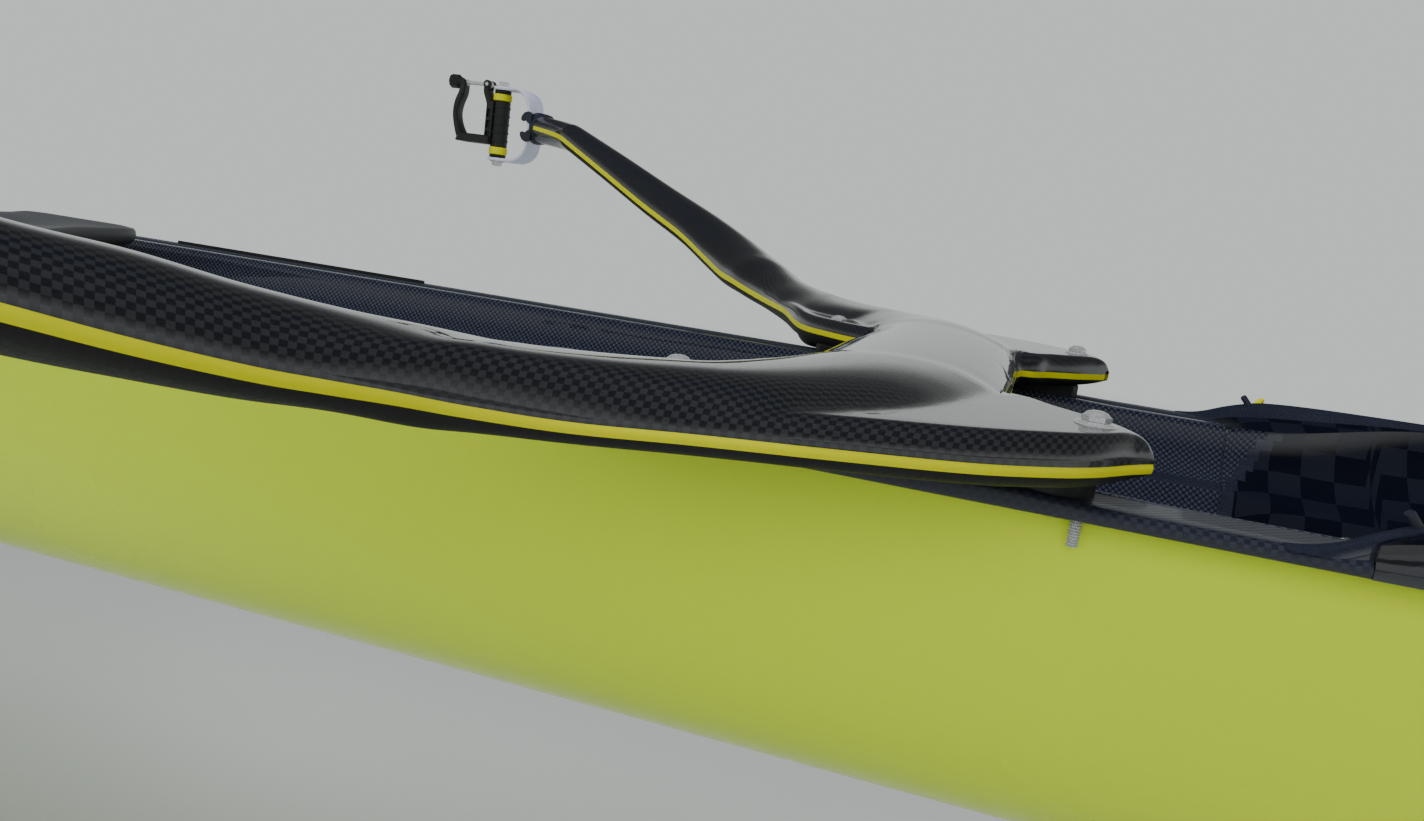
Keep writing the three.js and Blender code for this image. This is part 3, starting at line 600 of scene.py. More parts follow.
def bowl_section(end, beyond, top):
    """Half the bowl, from its wall at a distance beyond the cockpit to the middle: (distance, half width, height)."""
    wide = max(0.5, recess_width(end, beyond) - 1 - 8 * smooth(beyond, 5, 60))
    begin = lerp(151, top - 5, smooth(beyond, 0, 150))
    start = Vector((beyond - 9 * smooth(beyond, 300, RECESS_LENGTH), wide))
    heart = Vector((min(beyond, 0.62 * RECESS_LENGTH), 0))
    spread = min(1 + beyond / 95, 0.6 * wide / 50)
    steps = [(inward * spread / wide, ledge) for inward, ledge in LINING_WALL]
    steps += [(lerp(steps[-1][0], 1, i / 7), DECK_FLOOR) for i in range(1, 8)]
    rows = []
    for share, ledge in steps:
        spot = start.lerp(heart, share)
        if ledge > LEDGE_Z:
            ledge = lerp(LEDGE_Z, begin, (ledge - LEDGE_Z) / (WALL_TOP - LEDGE_Z))
        floor = min(RECESS_FLOOR + 4 + 92 * smooth(spot.x / RECESS_LENGTH, 0.1, 1.02), top - 5)
        bowl = lerp(begin, floor, math.sin(min(1, share / 0.62) * math.pi / 2) ** 0.8)
        rows.append((spot.x, spot.y, lerp(ledge, bowl, smooth(beyond, 50, 200))))
    return rows


# The rolled rim's section: how far in from its line, and height over it. The first two points make its skirt.
RIM_ROLL = [(-1.5, -8), (-0.6, -3.5), (1.6, -0.9), (4.5, 0), (7, -1.5), (9, -4.5)]


def coaming(name, end, direction):
    """The moulded bowl: the rolled rim with its flared ends, and the hollow that carries on from the lining."""
    line = rim_line(end)
    rings, runs = [], []
    run = 0
    for k, (beyond, wide, top) in enumerate(line):
        before, after = line[max(k - 1, 0)], line[min(k + 1, len(line) - 1)]
        along = Vector((after[0] - before[0], after[1] - before[1])).normalized()
        inward = Vector((along.y, -along.x)) if k < len(line) - 1 else Vector((-1, 0))
        if k:
            run += distance(line[k - 1][:2], (beyond, wide))
        runs.append(run)
        spot = Vector((beyond, wide))
        reach = min(1, wide / 20 + 0.5) if beyond < RECESS_LENGTH * 0.9 else 1
        ring = []
        foot = RECESS_FLOOR if wide < 199 else gunwale_top(end) - 2
        for off, z in [(RIM_ROLL[0][0], foot), *((off, top + rise) for off, rise in RIM_ROLL)]:
            at = spot + inward * off * reach
            ring.append((at.x, max(0, at.y), max(z, foot)))
        rolled = len(ring)
        section = bowl_section(end, max(beyond, -GAP), top)
        first, lip = section[0], ring[-1]
        ring += [(lerp(lip[0], first[0], share), lerp(lip[1], first[1], share), lerp(lip[2], first[2], share ** 0.7))
                 for share in (0.3, 0.6)]
        rings.append(ring + section)
    count = len(rings[0])
    mirrored = [[(x, -y, z) for x, y, z in ring] for ring in rings[-2::-1]]
    runs += runs[-2::-1]
    rings += mirrored
    points, cloth, faces, looks = [], [], [], []
    for ring, run in zip(rings, runs):
        across = 0
        for j, p in enumerate(ring):
            across += distance(p, ring[j - 1]) if j else 0
            points.append((end + direction * p[0], p[1], p[2]))
            cloth.append((run, across))
    for i in range(len(rings) - 1):
        for j in range(count - 1):
            a = i * count + j
            face = (a, a + 1, a + count + 1, a + count)
            faces.append(face)
            x = sum(abs(points[v][0] - end) for v in face) / 4
            z = sum(points[v][2] for v in face) / 4
            # The lining's cloth runs a little way into the bowl and ends in a glossy band.
            limit = lerp(8, 38, min(1, max(0, (z - 100) / 50)))
            inside = j > rolled + 1 and x < limit
            looks.append((1 if x < limit - 9 else 2) if inside else 2 if j < rolled else 0)
    return make(name, points, faces, cloth, looks, crease=40)


def deck(name, end, tip, direction):
    """A cambered deck from the cockpit's end to the boat's tip, swelling up to the rim of the recess."""
    line = [row for row in rim_line(end) if row[0] >= 0]
    rim = line + [(b, -w, z) for b, w, z in line[-2::-1]]
    rings = []
    near, length, points_across = 464, abs(tip - end), 80
    spans = [near * i / 58 for i in range(58)] + [lerp(near, length, (i / 50) ** 1.2) for i in range(51)]
    for beyond in spans:
        x = end + direction * beyond
        along = min(1, beyond / 700)
        half = half_beam(x) + lerp(FLANGE_REACH, 5, along)
        low = sheer_z(x) + GAP
        far = towards_end(x, COCKPIT_BOW, COCKPIT_STERN)
        edge = lerp(12, 6, far) - 3 * (1 - smooth(beyond, 0, 60))
        crown = lerp(30, 6, far ** 1.5) * (0.35 + 0.65 * along)
        ring = [(half - 1, low), (half, low + 2), (half, low + edge - 3), (half - 1, low + edge - 0.8)]
        for k in range(1, points_across):
            c = math.cos(math.pi * k / points_across)
            z = low + edge + crown * (1 - c * c)
            if beyond < RECESS_LENGTH + 60:
                gap, top = min((math.hypot(b - beyond, w - half * c), rim_top) for b, w, rim_top in rim)
                z = lerp(max(z, top - 3), z, smooth(gap, 2, 44))
            ring.append((half * c, z))
        ring += [(-y, z) for y, z in ring[3::-1]]
        rings.append([(x, y, z) for y, z in ring])
    plan = [(-5, rim[0][1] + 3)] + [(b, w) for b, w, _ in rim] + [(-5, -rim[0][1] - 3)]
    tool = plate("recess_cutter", [(end + direction * b, w) for b, w in plan], 0, 400, "z", edge=0)
    return carve(skin(name, rings), tool)


for label, end, tip, direction in (("bow", COCKPIT_BOW, HULL_BOW, 1), ("stern", COCKPIT_STERN, HULL_STERN, -1)):
    bowl = coaming(f"{label}_bowl", end, direction)
    fit(bowl, "boat", [CHECKS, LINING, NAVY_GLOSS], "moulding", f"{label}_coaming")
    fit(deck(f"{label}_deck_skin", end, tip, direction), "boat", CHECKS, "moulding", f"{label}_deck")


def rim_pegs(name, side):
    """A pair of short round ends that stand in a V on the rim."""
    pegs, sides = [], 20
    for lean in (-1, 1):
        foot = Vector((COCKPIT_BOW + 20 + 2 * lean, side * 229, 168))
        run = Vector((0.62 * lean, 0.25 * side, 0.74)).normalized()
        across = run.orthogonal().normalized()
        other = run.cross(across)
        rings = []
        for radius, height in ((2.6, -3), (2.6, 8), (2.2, 9.4), (1.2, 9.9)):
            rings.append([tuple(foot + run * height + (across * math.cos(a) + other * math.sin(a)) * radius)
                          for a in [2 * math.pi * i / sides for i in range(sides)]])
        pegs.append(skin("peg", rings, tints=[1 if lean > 0 else 0] * sides))
    return gathered(name, *pegs)


def gunwale_strip(name, side):
    """A thin strip that stands along the gunwale's top beside the slides."""
    section = [(-2, 0.1), (2, 0.1), (2, 2.2), (1.4, 2.8), (-1.4, 2.8), (-2, 2.2)]
    rings, count = [], 33
    for i in range(count + 1):
        x = lerp(325, 655, i / count)
        heart, top = side * (half_beam(x) + 19), gunwale_top(x)
        rings.append([(x, heart + y, top + z) for y, z in section])
    return skin(name, rings, crease=50)


# Wings.

# Half-wing stations from the nose of the foot to the arm's end, from the wing's origin midway between its
# rear bolts at gunwale height. Columns: inner edge x, y, z; outer edge x, y, z; rise; drop; stripe height.
HALF_WING = [
    (247, 223, 18, 250, 228, 18, 4, 3, 5),
    (236, 207, 18, 239, 242, 18, 12, 7, 5),
    (220, 186, 18, 221, 268, 18, 16, 9, 5),
    (199, 163, 18, 198, 291, 18, 18, 9.5, 5),
    (177, 139, 18, 164, 316, 18, 20, 9.5, 5),
    (110, 134, 18, 108, 343, 18, 25, 9.5, 5),
    (43, 181, 18, 53, 362, 17, 26, 9.5, 5),
    (0, 207, 18, 5, 383, 16.5, 28, 9.5, 5),
    (-40, 247, 18.5, -31, 406, 19.8, 27, 11, 5.2),
    (-72, 306, 26, -52, 427, 24.3, 25, 14, 5.5),
    (-107, 365, 29, -69, 448, 28.4, 24.6, 15, 5.8),
    (-141, 409, 34.3, -86, 470, 33, 27, 16.5, 6),
    (-172, 441, 41.5, -110, 500, 41.3, 29.2, 18, 6.2),
    (-199, 474, 47.2, -136, 530, 51.2, 29.1, 19, 6.4),
    (-238, 520.5, 62.2, -180, 579.5, 67.9, 28.3, 20, 6.6),
    (-291, 568, 86.3, -247, 631.5, 92.7, 27.6, 19, 6.8),
    (-368, 619, 117.2, -332, 680.6, 122.6, 27.4, 18, 7),
    (-459, 671, 158.7, -427, 728.7, 157.3, 27.1, 17, 7),
    (-550, 724, 199.2, -523, 775.8, 191.5, 26, 16, 7),
]
# The inner edge between the feet: rows of station, x, y, round the bow notch, down the middle and round the
# stern notch.
NOTCH = [(4, 177, 139), (4.1, 173.5, 122), (4.25, 173, 70), (4.5, 174, 0), (5.5, 40, 0), (5.7, 42, 58),
         (5.85, 43, 120), (6, 43, 181)]
# The ridge that runs from the bridge over a foot into its arm. Columns: crest x, y, height; reach of its slope
# outboard or towards the bow; reach inboard or towards the stern.
RIDGE = [
    (107, 0, 47, 67, 67), (106, 60, 47, 67.5, 64.5), (104, 120, 47, 68, 62), (101, 170, 47, 62, 60),
    (97, 210, 46.5, 56, 62), (86, 250, 45, 52, 67), (58, 300, 43, 46, 66), (30, 327, 42.5, 40, 72),
    (3, 350, 42.5, 35, 78), (-30, 375, 44, 35, 72), (-62, 400, 48, 38, 64), (-83, 425, 54, 42, 58),
    (-100, 450, 60, 46, 54), (-120, 475, 67, 46, 50),
]
# The stations between which the foot's shape gives way to the arm's.
ARM_FROM, ARM_WHOLE = 8.4, 10.8
ARM_END_RADIUS, ARM_END, PIN_SPAN, PIN_HEIGHT = 21, -630.65, 800, 213
# Up to this station the wall over the stripe stands a little proud, up to a step.
SKIRT_END, SKIRT_RISE, SKIRT_PROUD = 5.3, 9.5, 0.7
WALL_RADIUS, NOSE_RADIUS = 15, 17
NOTCH_MIDDLE_FROM, NOTCH_MIDDLE_TO = 4.5 - 1e-6, 5.5 + 1e-6


def inner_edge(t):
    """(x, y, whether the edge is free) at a station."""
    if not 4 < t < 6:
        row = through(HALF_WING, t)
        return row[0], row[1], True
    for (t0, x0, y0), (t1, x1, y1) in zip(NOTCH, NOTCH[1:]):
        if t <= t1 + 1e-9:
            share = (t - t0) / (t1 - t0)
            return lerp(x0, x1, share), lerp(y0, y1, share), not NOTCH_MIDDLE_FROM <= t <= NOTCH_MIDDLE_TO


def dome(r):
    """A round profile: 1 in the middle at r = 0, and 0 at r = 1 and beyond."""
    return math.sqrt(max(0, 1 - r * r))


RIDGE_LINE = curve(RIDGE, 6)


def ridge_height(x, y, base):
    """How far the ridge stands above a base height at a point."""
    best = None
    for a, b in zip(RIDGE_LINE, RIDGE_LINE[1:]):
        run = Vector((b[0] - a[0], b[1] - a[1]))
        off = Vector((x - a[0], y - a[1]))
        share = min(1, max(0, off.dot(run) / run.length_squared))
        gap = (off - run * share).length
        if best is None or gap < best[0]:
            best = (gap, off.x * run.y - off.y * run.x, [lerp(p, q, share) for p, q in zip(a, b)])
    gap, turn, (_, _, crest, outboard, inboard) = best
    return max(0, crest - base) * dome(gap / (outboard if turn > 0 else inboard))


def foot_plate(x, y, t):
    """How high the flat of the foot stands above the stripe at a point."""
    high = lerp(11, 14.5, smooth(x, 0, 200)) * (1 - smooth(t, 8.2, 10))
    starts = lerp(160, 118, smooth(x, 60, 160))
    return high * smooth(y, starts, starts + 34)


def wing_surface(t, share, over):
    """A point of the wing at a station, a share of the way from the outer edge to the inner."""
    _, _, iz, ox, oy, oz, rise, drop, band = through(HALF_WING, t)
    rise, drop = max(rise - band / 2, 0.5), max(drop - band / 2, 0.5)
    ix, iy, free = inner_edge(t)
    x, y, z = lerp(ox, ix, share), lerp(oy, iy, share), lerp(oz, iz, share)
    wide = math.hypot(ox - ix, oy - iy)
    radius = min(WALL_RADIUS, 0.45 * wide)
    outer_wall = dome(1 - min(1, share * wide / radius))
    inner_wall = dome(1 - min(1, (1 - share) * wide / radius)) if free else 1
    across = dome(2 * share - 1)
    arm = smooth(t, ARM_FROM, ARM_WHOLE)
    if not over:
        heel = 7 * smooth(t, 5.9, 6.3) * (1 - smooth(t, 7.9, 8.8)) * (1 - smooth(y, 246, 262))
        height = lerp((drop + heel) * outer_wall * inner_wall, drop * across, arm)
        return x, y, z - band / 2 - height
    height = rise * across
    if arm < 1:
        flat = foot_plate(x, y, t) * dome(1 - min(1, (0.5 + 11 * t) / NOSE_RADIUS))
        ridge = ridge_height(x, y, z + band / 2)
        foot = (flat ** 3 + ridge ** 3) ** (1 / 3) * outer_wall * inner_wall
        height = lerp(foot, height, arm)
    return x, y, z + band / 2 + height


def across_shares(wide):
    """Shares from the outer edge to the inner, close together over the rounded walls."""
    radius = min(WALL_RADIUS, 0.45 * wide) / wide
    turns = [0, 9, 18, 27, 36, 44, 47, 55, 64, 73, 82, 90]
    wall = [radius * (1 - math.cos(math.radians(a))) for a in turns]
    middle = [lerp(radius, 1 - radius, i / 24) for i in range(1, 24)]
    return wall + middle + [1 - s for s in wall[::-1]]


def wing(name, origin_x):
    """The whole wing as one skin: top, underside and the stripe that runs round its edge."""
    stations = [0.35 * (i / 6) ** 1.5 for i in range(6)] + [0.35 + 0.65 * i / 8 for i in range(8)]
    stations += [1 + i / 8 for i in range(24)] + [4, 4.1, 4.17, 4.25, 4.33, 4.42]
    stations += [4.5 + i / 16 for i in range(13)] + [SKIRT_END - 0.012, SKIRT_END + 0.012]
    stations += [5.37, 5.43, 5.5, 5.56, 5.63, 5.7, 5.78, 5.85, 5.93]
    stations += [6 + i / 12 for i in range(61)] + [11 + i / 8 for i in range(1, 57)]
    points, faces, cloth, looks = [], [], [], []

    def grid(rows, look, free_only=False):
        """Joins rows of points, leaving out the closed middle where only the free edge is wanted."""
        start = len(points)
        wide = len(rows[0])
        for row in rows:
            for point, fabric in row:
                points.append(point)
                cloth.append(fabric)
        for i in range(len(rows) - 1):
            if free_only and NOTCH_MIDDLE_FROM <= stations[i] and stations[i + 1] <= NOTCH_MIDDLE_TO:
                continue
            for j in range(wide - 1):
                a = start + i * wide + j
                faces.append((a, a + 1, a + wide + 1, a + wide))
                looks.append(look)

    tops, unders, outers, inners = [], [], [], []
    run, before = 0, None
    for t in stations:
        edge = Vector(through(HALF_WING, t)[3:6])
        run += (edge - before).length if before else 0
        before = edge
        ix, iy, _ = inner_edge(t)
        out = Vector((edge.x - ix, edge.y - iy, 0))
        shares = across_shares(out.length)
        out.normalize()
        upper, lower = [], []
        across = 0
        for share in shares:
            spot = Vector(wing_surface(t, share, True))
            if upper:
                across += distance(upper[-1][0], spot)
            if t < SKIRT_END and 0 < share < 0.3 and across < SKIRT_RISE:
                spot += out * SKIRT_PROUD
            upper.append((tuple(spot), (run, across)))
            lower.append((wing_surface(t, share, False), (run, across)))
        tops.append(upper)
        unders.append(lower)
        a, b = Vector(upper[0][0]), Vector(lower[0][0])
        outers.append([(tuple(a.lerp(b, k / 4) + out * swell), (run, k))
                       for k, swell in enumerate((0, 0.7, 1.0, 0.7, 0))])
        a, b = Vector(upper[-1][0]), Vector(lower[-1][0])
        inners.append([(tuple(a.lerp(b, k / 2)), (run, k)) for k in range(3)])
    grid(tops, 0)
    grid(unders, 2)
    grid(outers, 1)
    grid(inners, 1, free_only=True)
    # The arm runs on from its last station into the round end inside the collar.
    last = [p for p, _ in outers[-1][::-1]] + [p for p, _ in tops[-1]][1:] + [p for p, _ in inners[-1]][1:]
    last += [p for p, _ in unders[-1]][::-1][1:-1]
    count = len(last)
    middle = sum((Vector(p) for p in last), Vector()) / count
    turns = [math.atan2(p[2] - middle.z, p[1] - middle.y) for p in last]
    rings = [last]
    for share in (0.12, 0.25, 0.38, 0.5, 0.62, 0.74, 0.86, 1.0):
        ease = smooth(share, 0, 1)
        rings.append([
            tuple(Vector(p).lerp(Vector((ARM_END + 26 * (1 - ease), PIN_SPAN + ARM_END_RADIUS * math.cos(a),
                                         PIN_HEIGHT + ARM_END_RADIUS * math.sin(a))), ease))
            for p, a in zip(last, turns)])
    stripe_steps = {0, 1, 2, 3, 3 + len(shares), 4 + len(shares)}
    start = len(points)
    for i, ring in enumerate(rings):
        across = 0
        for j, p in enumerate(ring):
            points.append(p)
            cloth.append((run + i * 12, across))
            across += distance(p, ring[(j + 1) % count])
    for i in range(len(rings) - 1):
        for j in range(count):
            k = (j + 1) % count
            faces.append((start + i * count + j, start + i * count + k, start + (i + 1) * count + k,
                          start + (i + 1) * count + j))
            looks.append(1 if j in stripe_steps and i < 7 else 0)
    faces.append(tuple(range(start + (len(rings) - 1) * count, start + len(rings) * count)))
    looks.append(0)
    half = len(points)
    points += [(x, -y, z) for x, y, z in points]
    cloth += cloth
    faces += [tuple(half + i for i in reversed(face)) for face in faces]
    looks += looks
    points = [(x + origin_x, y, z + GUNWALE_TOP) for x, y, z in points]
    return make(name, points, faces, cloth, looks, crease=None)


for place, pin_x in PLACES:
    whole = wing(f"wing_skin_{place}", pin_x + WING_AHEAD)
    fit(whole, "boat", [TWILL, STRIPE, UNDERSIDE], "carbon", f"wing_{place}")


# Riggers' ends: what stands on a pin, in the pin's own frame.

def gathered(name, *parts):
    """Several closed shapes as one piece."""
    bpy.context.view_layer.update()
    work = bmesh.new()
    for part in parts:
        work.from_mesh(settled(part).data)
        bpy.data.objects.remove(part)
    mesh = bpy.data.meshes.new(name)
    work.to_mesh(mesh)
    work.free()
    piece = bpy.data.objects.new(name, mesh)
    bpy.context.scene.collection.objects.link(piece)
    return piece


def hex_nut(radius, low, high, at=(0, 0, 0), axis="z"):
    chamfer = 0.12 * radius
    profile = [(radius - chamfer, low), (radius, low + 0.6 * chamfer), (radius, high - 0.6 * chamfer),
               (radius - chamfer, high)]
    return turned("nut", profile, at, axis, sides=6, crease=20)


THREAD_PITCH = 1.4


def thread(radius, low, high, at=(0, 0, 0), axis="z"):
    """A threaded end, as fine ridges."""
    count = max(2, int((high - low) / THREAD_PITCH))
    profile = [(radius - 0.7, low)]
    for i in range(count):
        foot = lerp(low, high, (i + 0.1) / count)
        profile += [(radius - 0.5, foot), (radius, foot + 0.4 * THREAD_PITCH)]
    profile += [(radius - 0.7, high)]
    return turned("thread", profile, at, axis, sides=20)


def sheath(outer, inner, low, high, at=(0, 0, 0), axis="z", edge=1.0, sides=40):
    """A ring or sleeve with its corners broken."""
    profile = [(inner, low), (outer - edge, low), (outer, low + edge), (outer, high - edge), (outer - edge, high),
               (inner, high)]
    return turned("sheath", profile, at, axis, sides, loop=True)


# The middle of the bent band, seen from its side.
BRACKET_PATH = [(-13, 55.5), (8, 55.5), (21, 55.5), (34, 55.2), (44.5, 52), (53, 45.5), (58, 36.5), (60.4, 26),
                (61.3, 15), (61.5, 3), (61.5, -10), (61.1, -21), (59.4, -31), (56.5, -40), (51, -47), (43.5, -52.3),
                (34, -55.3), (21, -55.5), (8, -55.5), (-13, -55.5)]
# The band's section: shares of its half width and of its half thickness.
BRACKET_SECTION = [(-1, -0.55), (-0.94, -1), (0, -1), (0.94, -1), (1, -0.55), (1, 0.55), (0.94, 1), (0, 1), (-0.94, 1),
                   (-1, 0.55)]
TONGUE_HALF, BACK_HALF, BAND_HALF_THICK = 15, 24.3, 2.5


def bracket(name, at):
    """The band bent round behind the gate, wide at the back and narrowing to a tongue over and under it."""
    rows = curve(BRACKET_PATH, 4)
    rings = []
    for i, (x, z) in enumerate(rows):
        before, after = rows[max(i - 1, 0)], rows[min(i + 1, len(rows) - 1)]
        run = Vector((after[0] - before[0], 0, after[1] - before[1])).normalized()
        out = Vector((-run.z, 0, run.x)) * BAND_HALF_THICK
        if x > -6:
            wide = lerp(TONGUE_HALF, BACK_HALF, smooth(x, 6, 54))
        else:
            wide = math.sqrt(max(1, TONGUE_HALF ** 2 - (-6 - x) ** 2 * 3.2))
        rings.append([tuple(Vector((x, share * wide, z)) + out * off + Vector(at)) for share, off in BRACKET_SECTION])
    return skin(name, rings, crease=50)


def pin_and_nuts(name, at):
    return gathered(
        name,
        turned("rod", [(5.9, -66), (6.5, -65.3), (6.5, 65.3), (5.9, 66)], at),
        hex_nut(9.5, 58.3, 65.2, at), hex_nut(9.5, -65.2, -58.3, at),
        sheath(11.5, 6.7, 58.05, 59.4, at, edge=0.3), sheath(11.5, 6.7, -59.4, -58.05, at, edge=0.3))


# The gate's post and neck from its pin: x, z, half width, half thickness.
POST = [(-61, -27, 15, 6.2), (-67, -24, 13.5, 6.3), (-72, -15, 12, 5.6), (-76.5, -3, 11, 5), (-79, 12, 11, 4.8),
        (-76.8, 28, 11, 5.4), (-71.5, 42, 10.4, 5.6), (-70, 54, 9.6, 5.2), (-70, 63.6, 9, 4.6)]
NECK = [(-13, 10, 13, 6), (-15.5, 22, 12, 5.6), (-21, 36, 11, 5.2), (-26, 48, 10, 5.6), (-26, 58, 9.6, 6),
        (-24.8, 65.6, 8.6, 4)]
KEEPER_HINGE = (-25, 0, 60)


def limb(name, rows, at):
    """One of the gate's limbs, from a table of its own."""
    return swept(name, [(at[0] + x, at[1], at[2] + z, wide, thick) for x, z, wide, thick in curve(rows, 4)])


def from_pin(at, offset):
    return tuple(Vector(at) + Vector(offset))


def gate(name, at):
    """The gate: ribbed sleeve, face, sill, curved post and the neck that carries the keeper."""
    sleeve = turned("sleeve", [(7, -36), (12.6, -36), (13.5, -35), (13.5, 35), (12.6, 36), (7, 36)], at, loop=True,
                    sides=48)
    ribs = [sheath(14.5, 12, z - 1.4, z + 1.4, at, edge=0.4) for z in (-26, -13, 0, 13, 26)]
    face = plate("face", bar(-19.5, -33, -7.6, 34), -15, 15, at=at, edge=0)
    for side in (-1, 1):
        for z in (-25, -8, 9):
            window = plate("window", bar(-17.5, z, -9.5, z + 12), 11.5 * side, 16 * side, at=at, edge=0)
            face = carve(face, window, crease=30)
    sill = plate("sill", [(-70, -33), (-9, -33), (-9, -20.2), (-16, -20), (-64, -20)], -20, 20, at=at, edge=2.4)
    soften(sill, 0.5)
    post = carve(limb("post", POST, at), plate("notch", bar(-84, 56.6, -58, 72), -5, 5, at=at, edge=0))
    neck = carve(limb("neck", NECK, at), plate("fork", bar(-36, 51, -14, 72), -4.6, 4.6, at=at, edge=0))
    bosses = [turned("boss", [(6, 4.6 * s), (6.4, 5.4 * s), (6.4, 10 * s), (5, 10.6 * s)], from_pin(at, KEEPER_HINGE),
                     "y", 28) for s in (-1, 1)]
    return gathered(name, sleeve, *ribs, face, sill, post, neck, *bosses)


def keeper(name, at):
    """The keeper's threaded rod with the eye and pivot that it hinges on, and its lock nut."""
    there = from_pin(at, KEEPER_HINGE)
    rod = turned("rod", [(3, -4), (3, -52)], there, "x", 24)
    eye = turned("eye", [(5.2, -4), (5.7, -3.2), (5.7, 3.2), (5.2, 4)], there, "y", 28)
    axle = turned("pivot", [(2.4, -11.2), (2.8, -10.8), (2.8, 10.8), (2.4, 11.2)], there, "y", 20)
    lock = hex_nut(5.4, -43.5, -39, there, "x")
    return gathered(name, rod, eye, axle, lock, thread(3.1, -56, -34, there, "x"))


def keeper_knob(name, at):
    there = from_pin(at, KEEPER_HINGE)
    cone = turned("cone", [(4.2, -47), (6.4, -48), (8.2, -53.5), (9, -54.5)], there, "x", 32)
    grip = turned("grip", [(9.3, -54), (11, -55.4), (11, -68.6), (9.3, -70)], there, "x", 8, crease=20)
    return gathered(name, cone, grip)


def collar(name, at):
    """The cup that joins the arm to the bracket, with straps across the band and claws round its edges."""
    cup = turned("cup", [(19, 89), (22, 88), (23.4, 82), (24.6, 72), (25, 67), (24.6, 64.4), (16, 64.1), (16, 72)],
                 at, "x", 48, loop=True)
    claw = [(66, 3), (66, 22), (60, 24), (53, 21), (49, 15), (48.5, 10), (52, 7.5), (57, 9), (60, 6)]
    strap = [(64.2, 3), (64.2, 22), (67, 20), (67, 4)]
    grips = []
    for edge in (-1, 1):
        for over in (-1, 1):
            outline = [(x, z * over) for x, z in claw]
            grips.append(plate("claw", outline, edge * 21.6, edge * 25, at=at, edge=1.0))
    for over in (-1, 1):
        grips.append(plate("strap", [(x, z * over) for x, z in strap], -25, 25, at=at))
    return gathered(name, cup, *grips)


for place, pin_x in PLACES:
    for label, side in SIDES:
        at = (pin_x, side * PIN_SPAN, GUNWALE_TOP + PIN_HEIGHT)
        end = f"{place}_{label}"
        fit(bracket(f"bracket_band_{end}", at), "boat", PEARL, "silver", f"bracket_{end}")
        fit(pin_and_nuts(f"pin_and_nuts_{end}", at), "boat", STEEL, "steel", f"pin_{end}")
        fit(collar(f"collar_{end}", at), "boat", COLLAR, "plastic")
        spacers = [sheath(14.6, 6.8, low, high, at) for low, high in ((36.3, 46.6), (-47.6, -36.3))]
        fit(gathered(f"spacers_{end}", *spacers), "boat", STRIPE, "plastic")
        washers = [sheath(13.2, 6.8, low, high, at) for low, high in ((46.8, 52.8), (-52.8, -47.8))]
        fit(gathered(f"washers_{end}", *washers), "boat", RUBBER, "plastic")
        fit(gate(f"gate_body_{end}", at), f"gate_{end}", PLASTIC, "plastic", f"gate_{end}")
        fit(keeper(f"keeper_rod_{end}", at), f"keeper_{end}", STEEL, "steel", f"keeper_{end}")
        fit(keeper_knob(f"keeper_knob_{end}", at), f"keeper_{end}", PLASTIC, "plastic")


# Bolts through the wings' feet, with their threaded ends under the flange. Columns: name; x from the rear
# bolts; half the space between the two sides' bolts; height of the foot's top; reach under the flange.
FOOT_BOLTS = [("rear", 0, 235, 182.5, 4), ("front", 220, 226, 189.4, 17)]


def foot_bolt(name, x, y, head_z, reach):
    over, under = (x, y, head_z), (x, y, SHEER)
    return gathered(
        name,
        turned("skirt", [(10.6, -1.5), (11, -0.4), (10.4, 1.3), (8.6, 2.1), (7, 2.2)], over, sides=40),
        hex_nut(7.6, 2, 5.4, over), turned("cap", [(6.4, 5.2), (5.4, 6.6), (3.2, 7.5), (0, 7.8)], over, sides=24),
        thread(3.4, -reach, -0.5, under))


for place, pin_x in PLACES:
    for label, side in SIDES:
        for end, x, half_span, head_z, reach in FOOT_BOLTS:
            spot = (pin_x + WING_AHEAD + x, side * half_span)
            fit(foot_bolt(f"foot_bolt_{place}_{label}_{end}", *spot, head_z, reach), "boat", STEEL, "steel")


for label, side in SIDES:
    fit(rim_pegs(f"rim_pegs_{label}", side), "boat", [COLLAR, STRIPE], "plastic")
    fit(gunwale_strip(f"gunwale_strip_{label}", side), "boat", RUBBER, "plastic")


# Slides: rails, seats and wheels.

RAIL_Y, RAIL_TOP, RAIL_AFT, RAIL_FORE = 109, 84, -235, 620
SEAT_FROM_PIN, SEAT_TOP, SEAT_BASE = -135, 173, 147
SEAT_HALF_LENGTH, SEAT_HALF_WIDTH = 110, 145
WHEEL_SPACING, AXLE_Z, CHEEK_Y = 60, 106.35, 88


def rail(name, pin_x, y):
    low = DECK_FLOOR + GAP
    half = [(13, low), (13, 81.4), (12.4, 82), (10.4, 83.6), (9.6, RAIL_TOP)]
    section = [(-13, low), *half, *((-v, z) for v, z in half[:0:-1])]
    ends = (RAIL_AFT, RAIL_AFT + 1, RAIL_FORE - 1, RAIL_FORE)
    return skin(name, [[(pin_x + x, y + v, z) for v, z in section] for x in ends], crease=25)


def rail_screws(name, pin_x, y):
    """The two screws near the rail's ends."""
    heads = [turned("head", [(3.4, 0), (3.2, 0.5), (2, 0.9), (0, 1)], (pin_x + x, y, RAIL_TOP), sides=20)
             for x in (-225, 609)]
    return gathered(name, *heads)


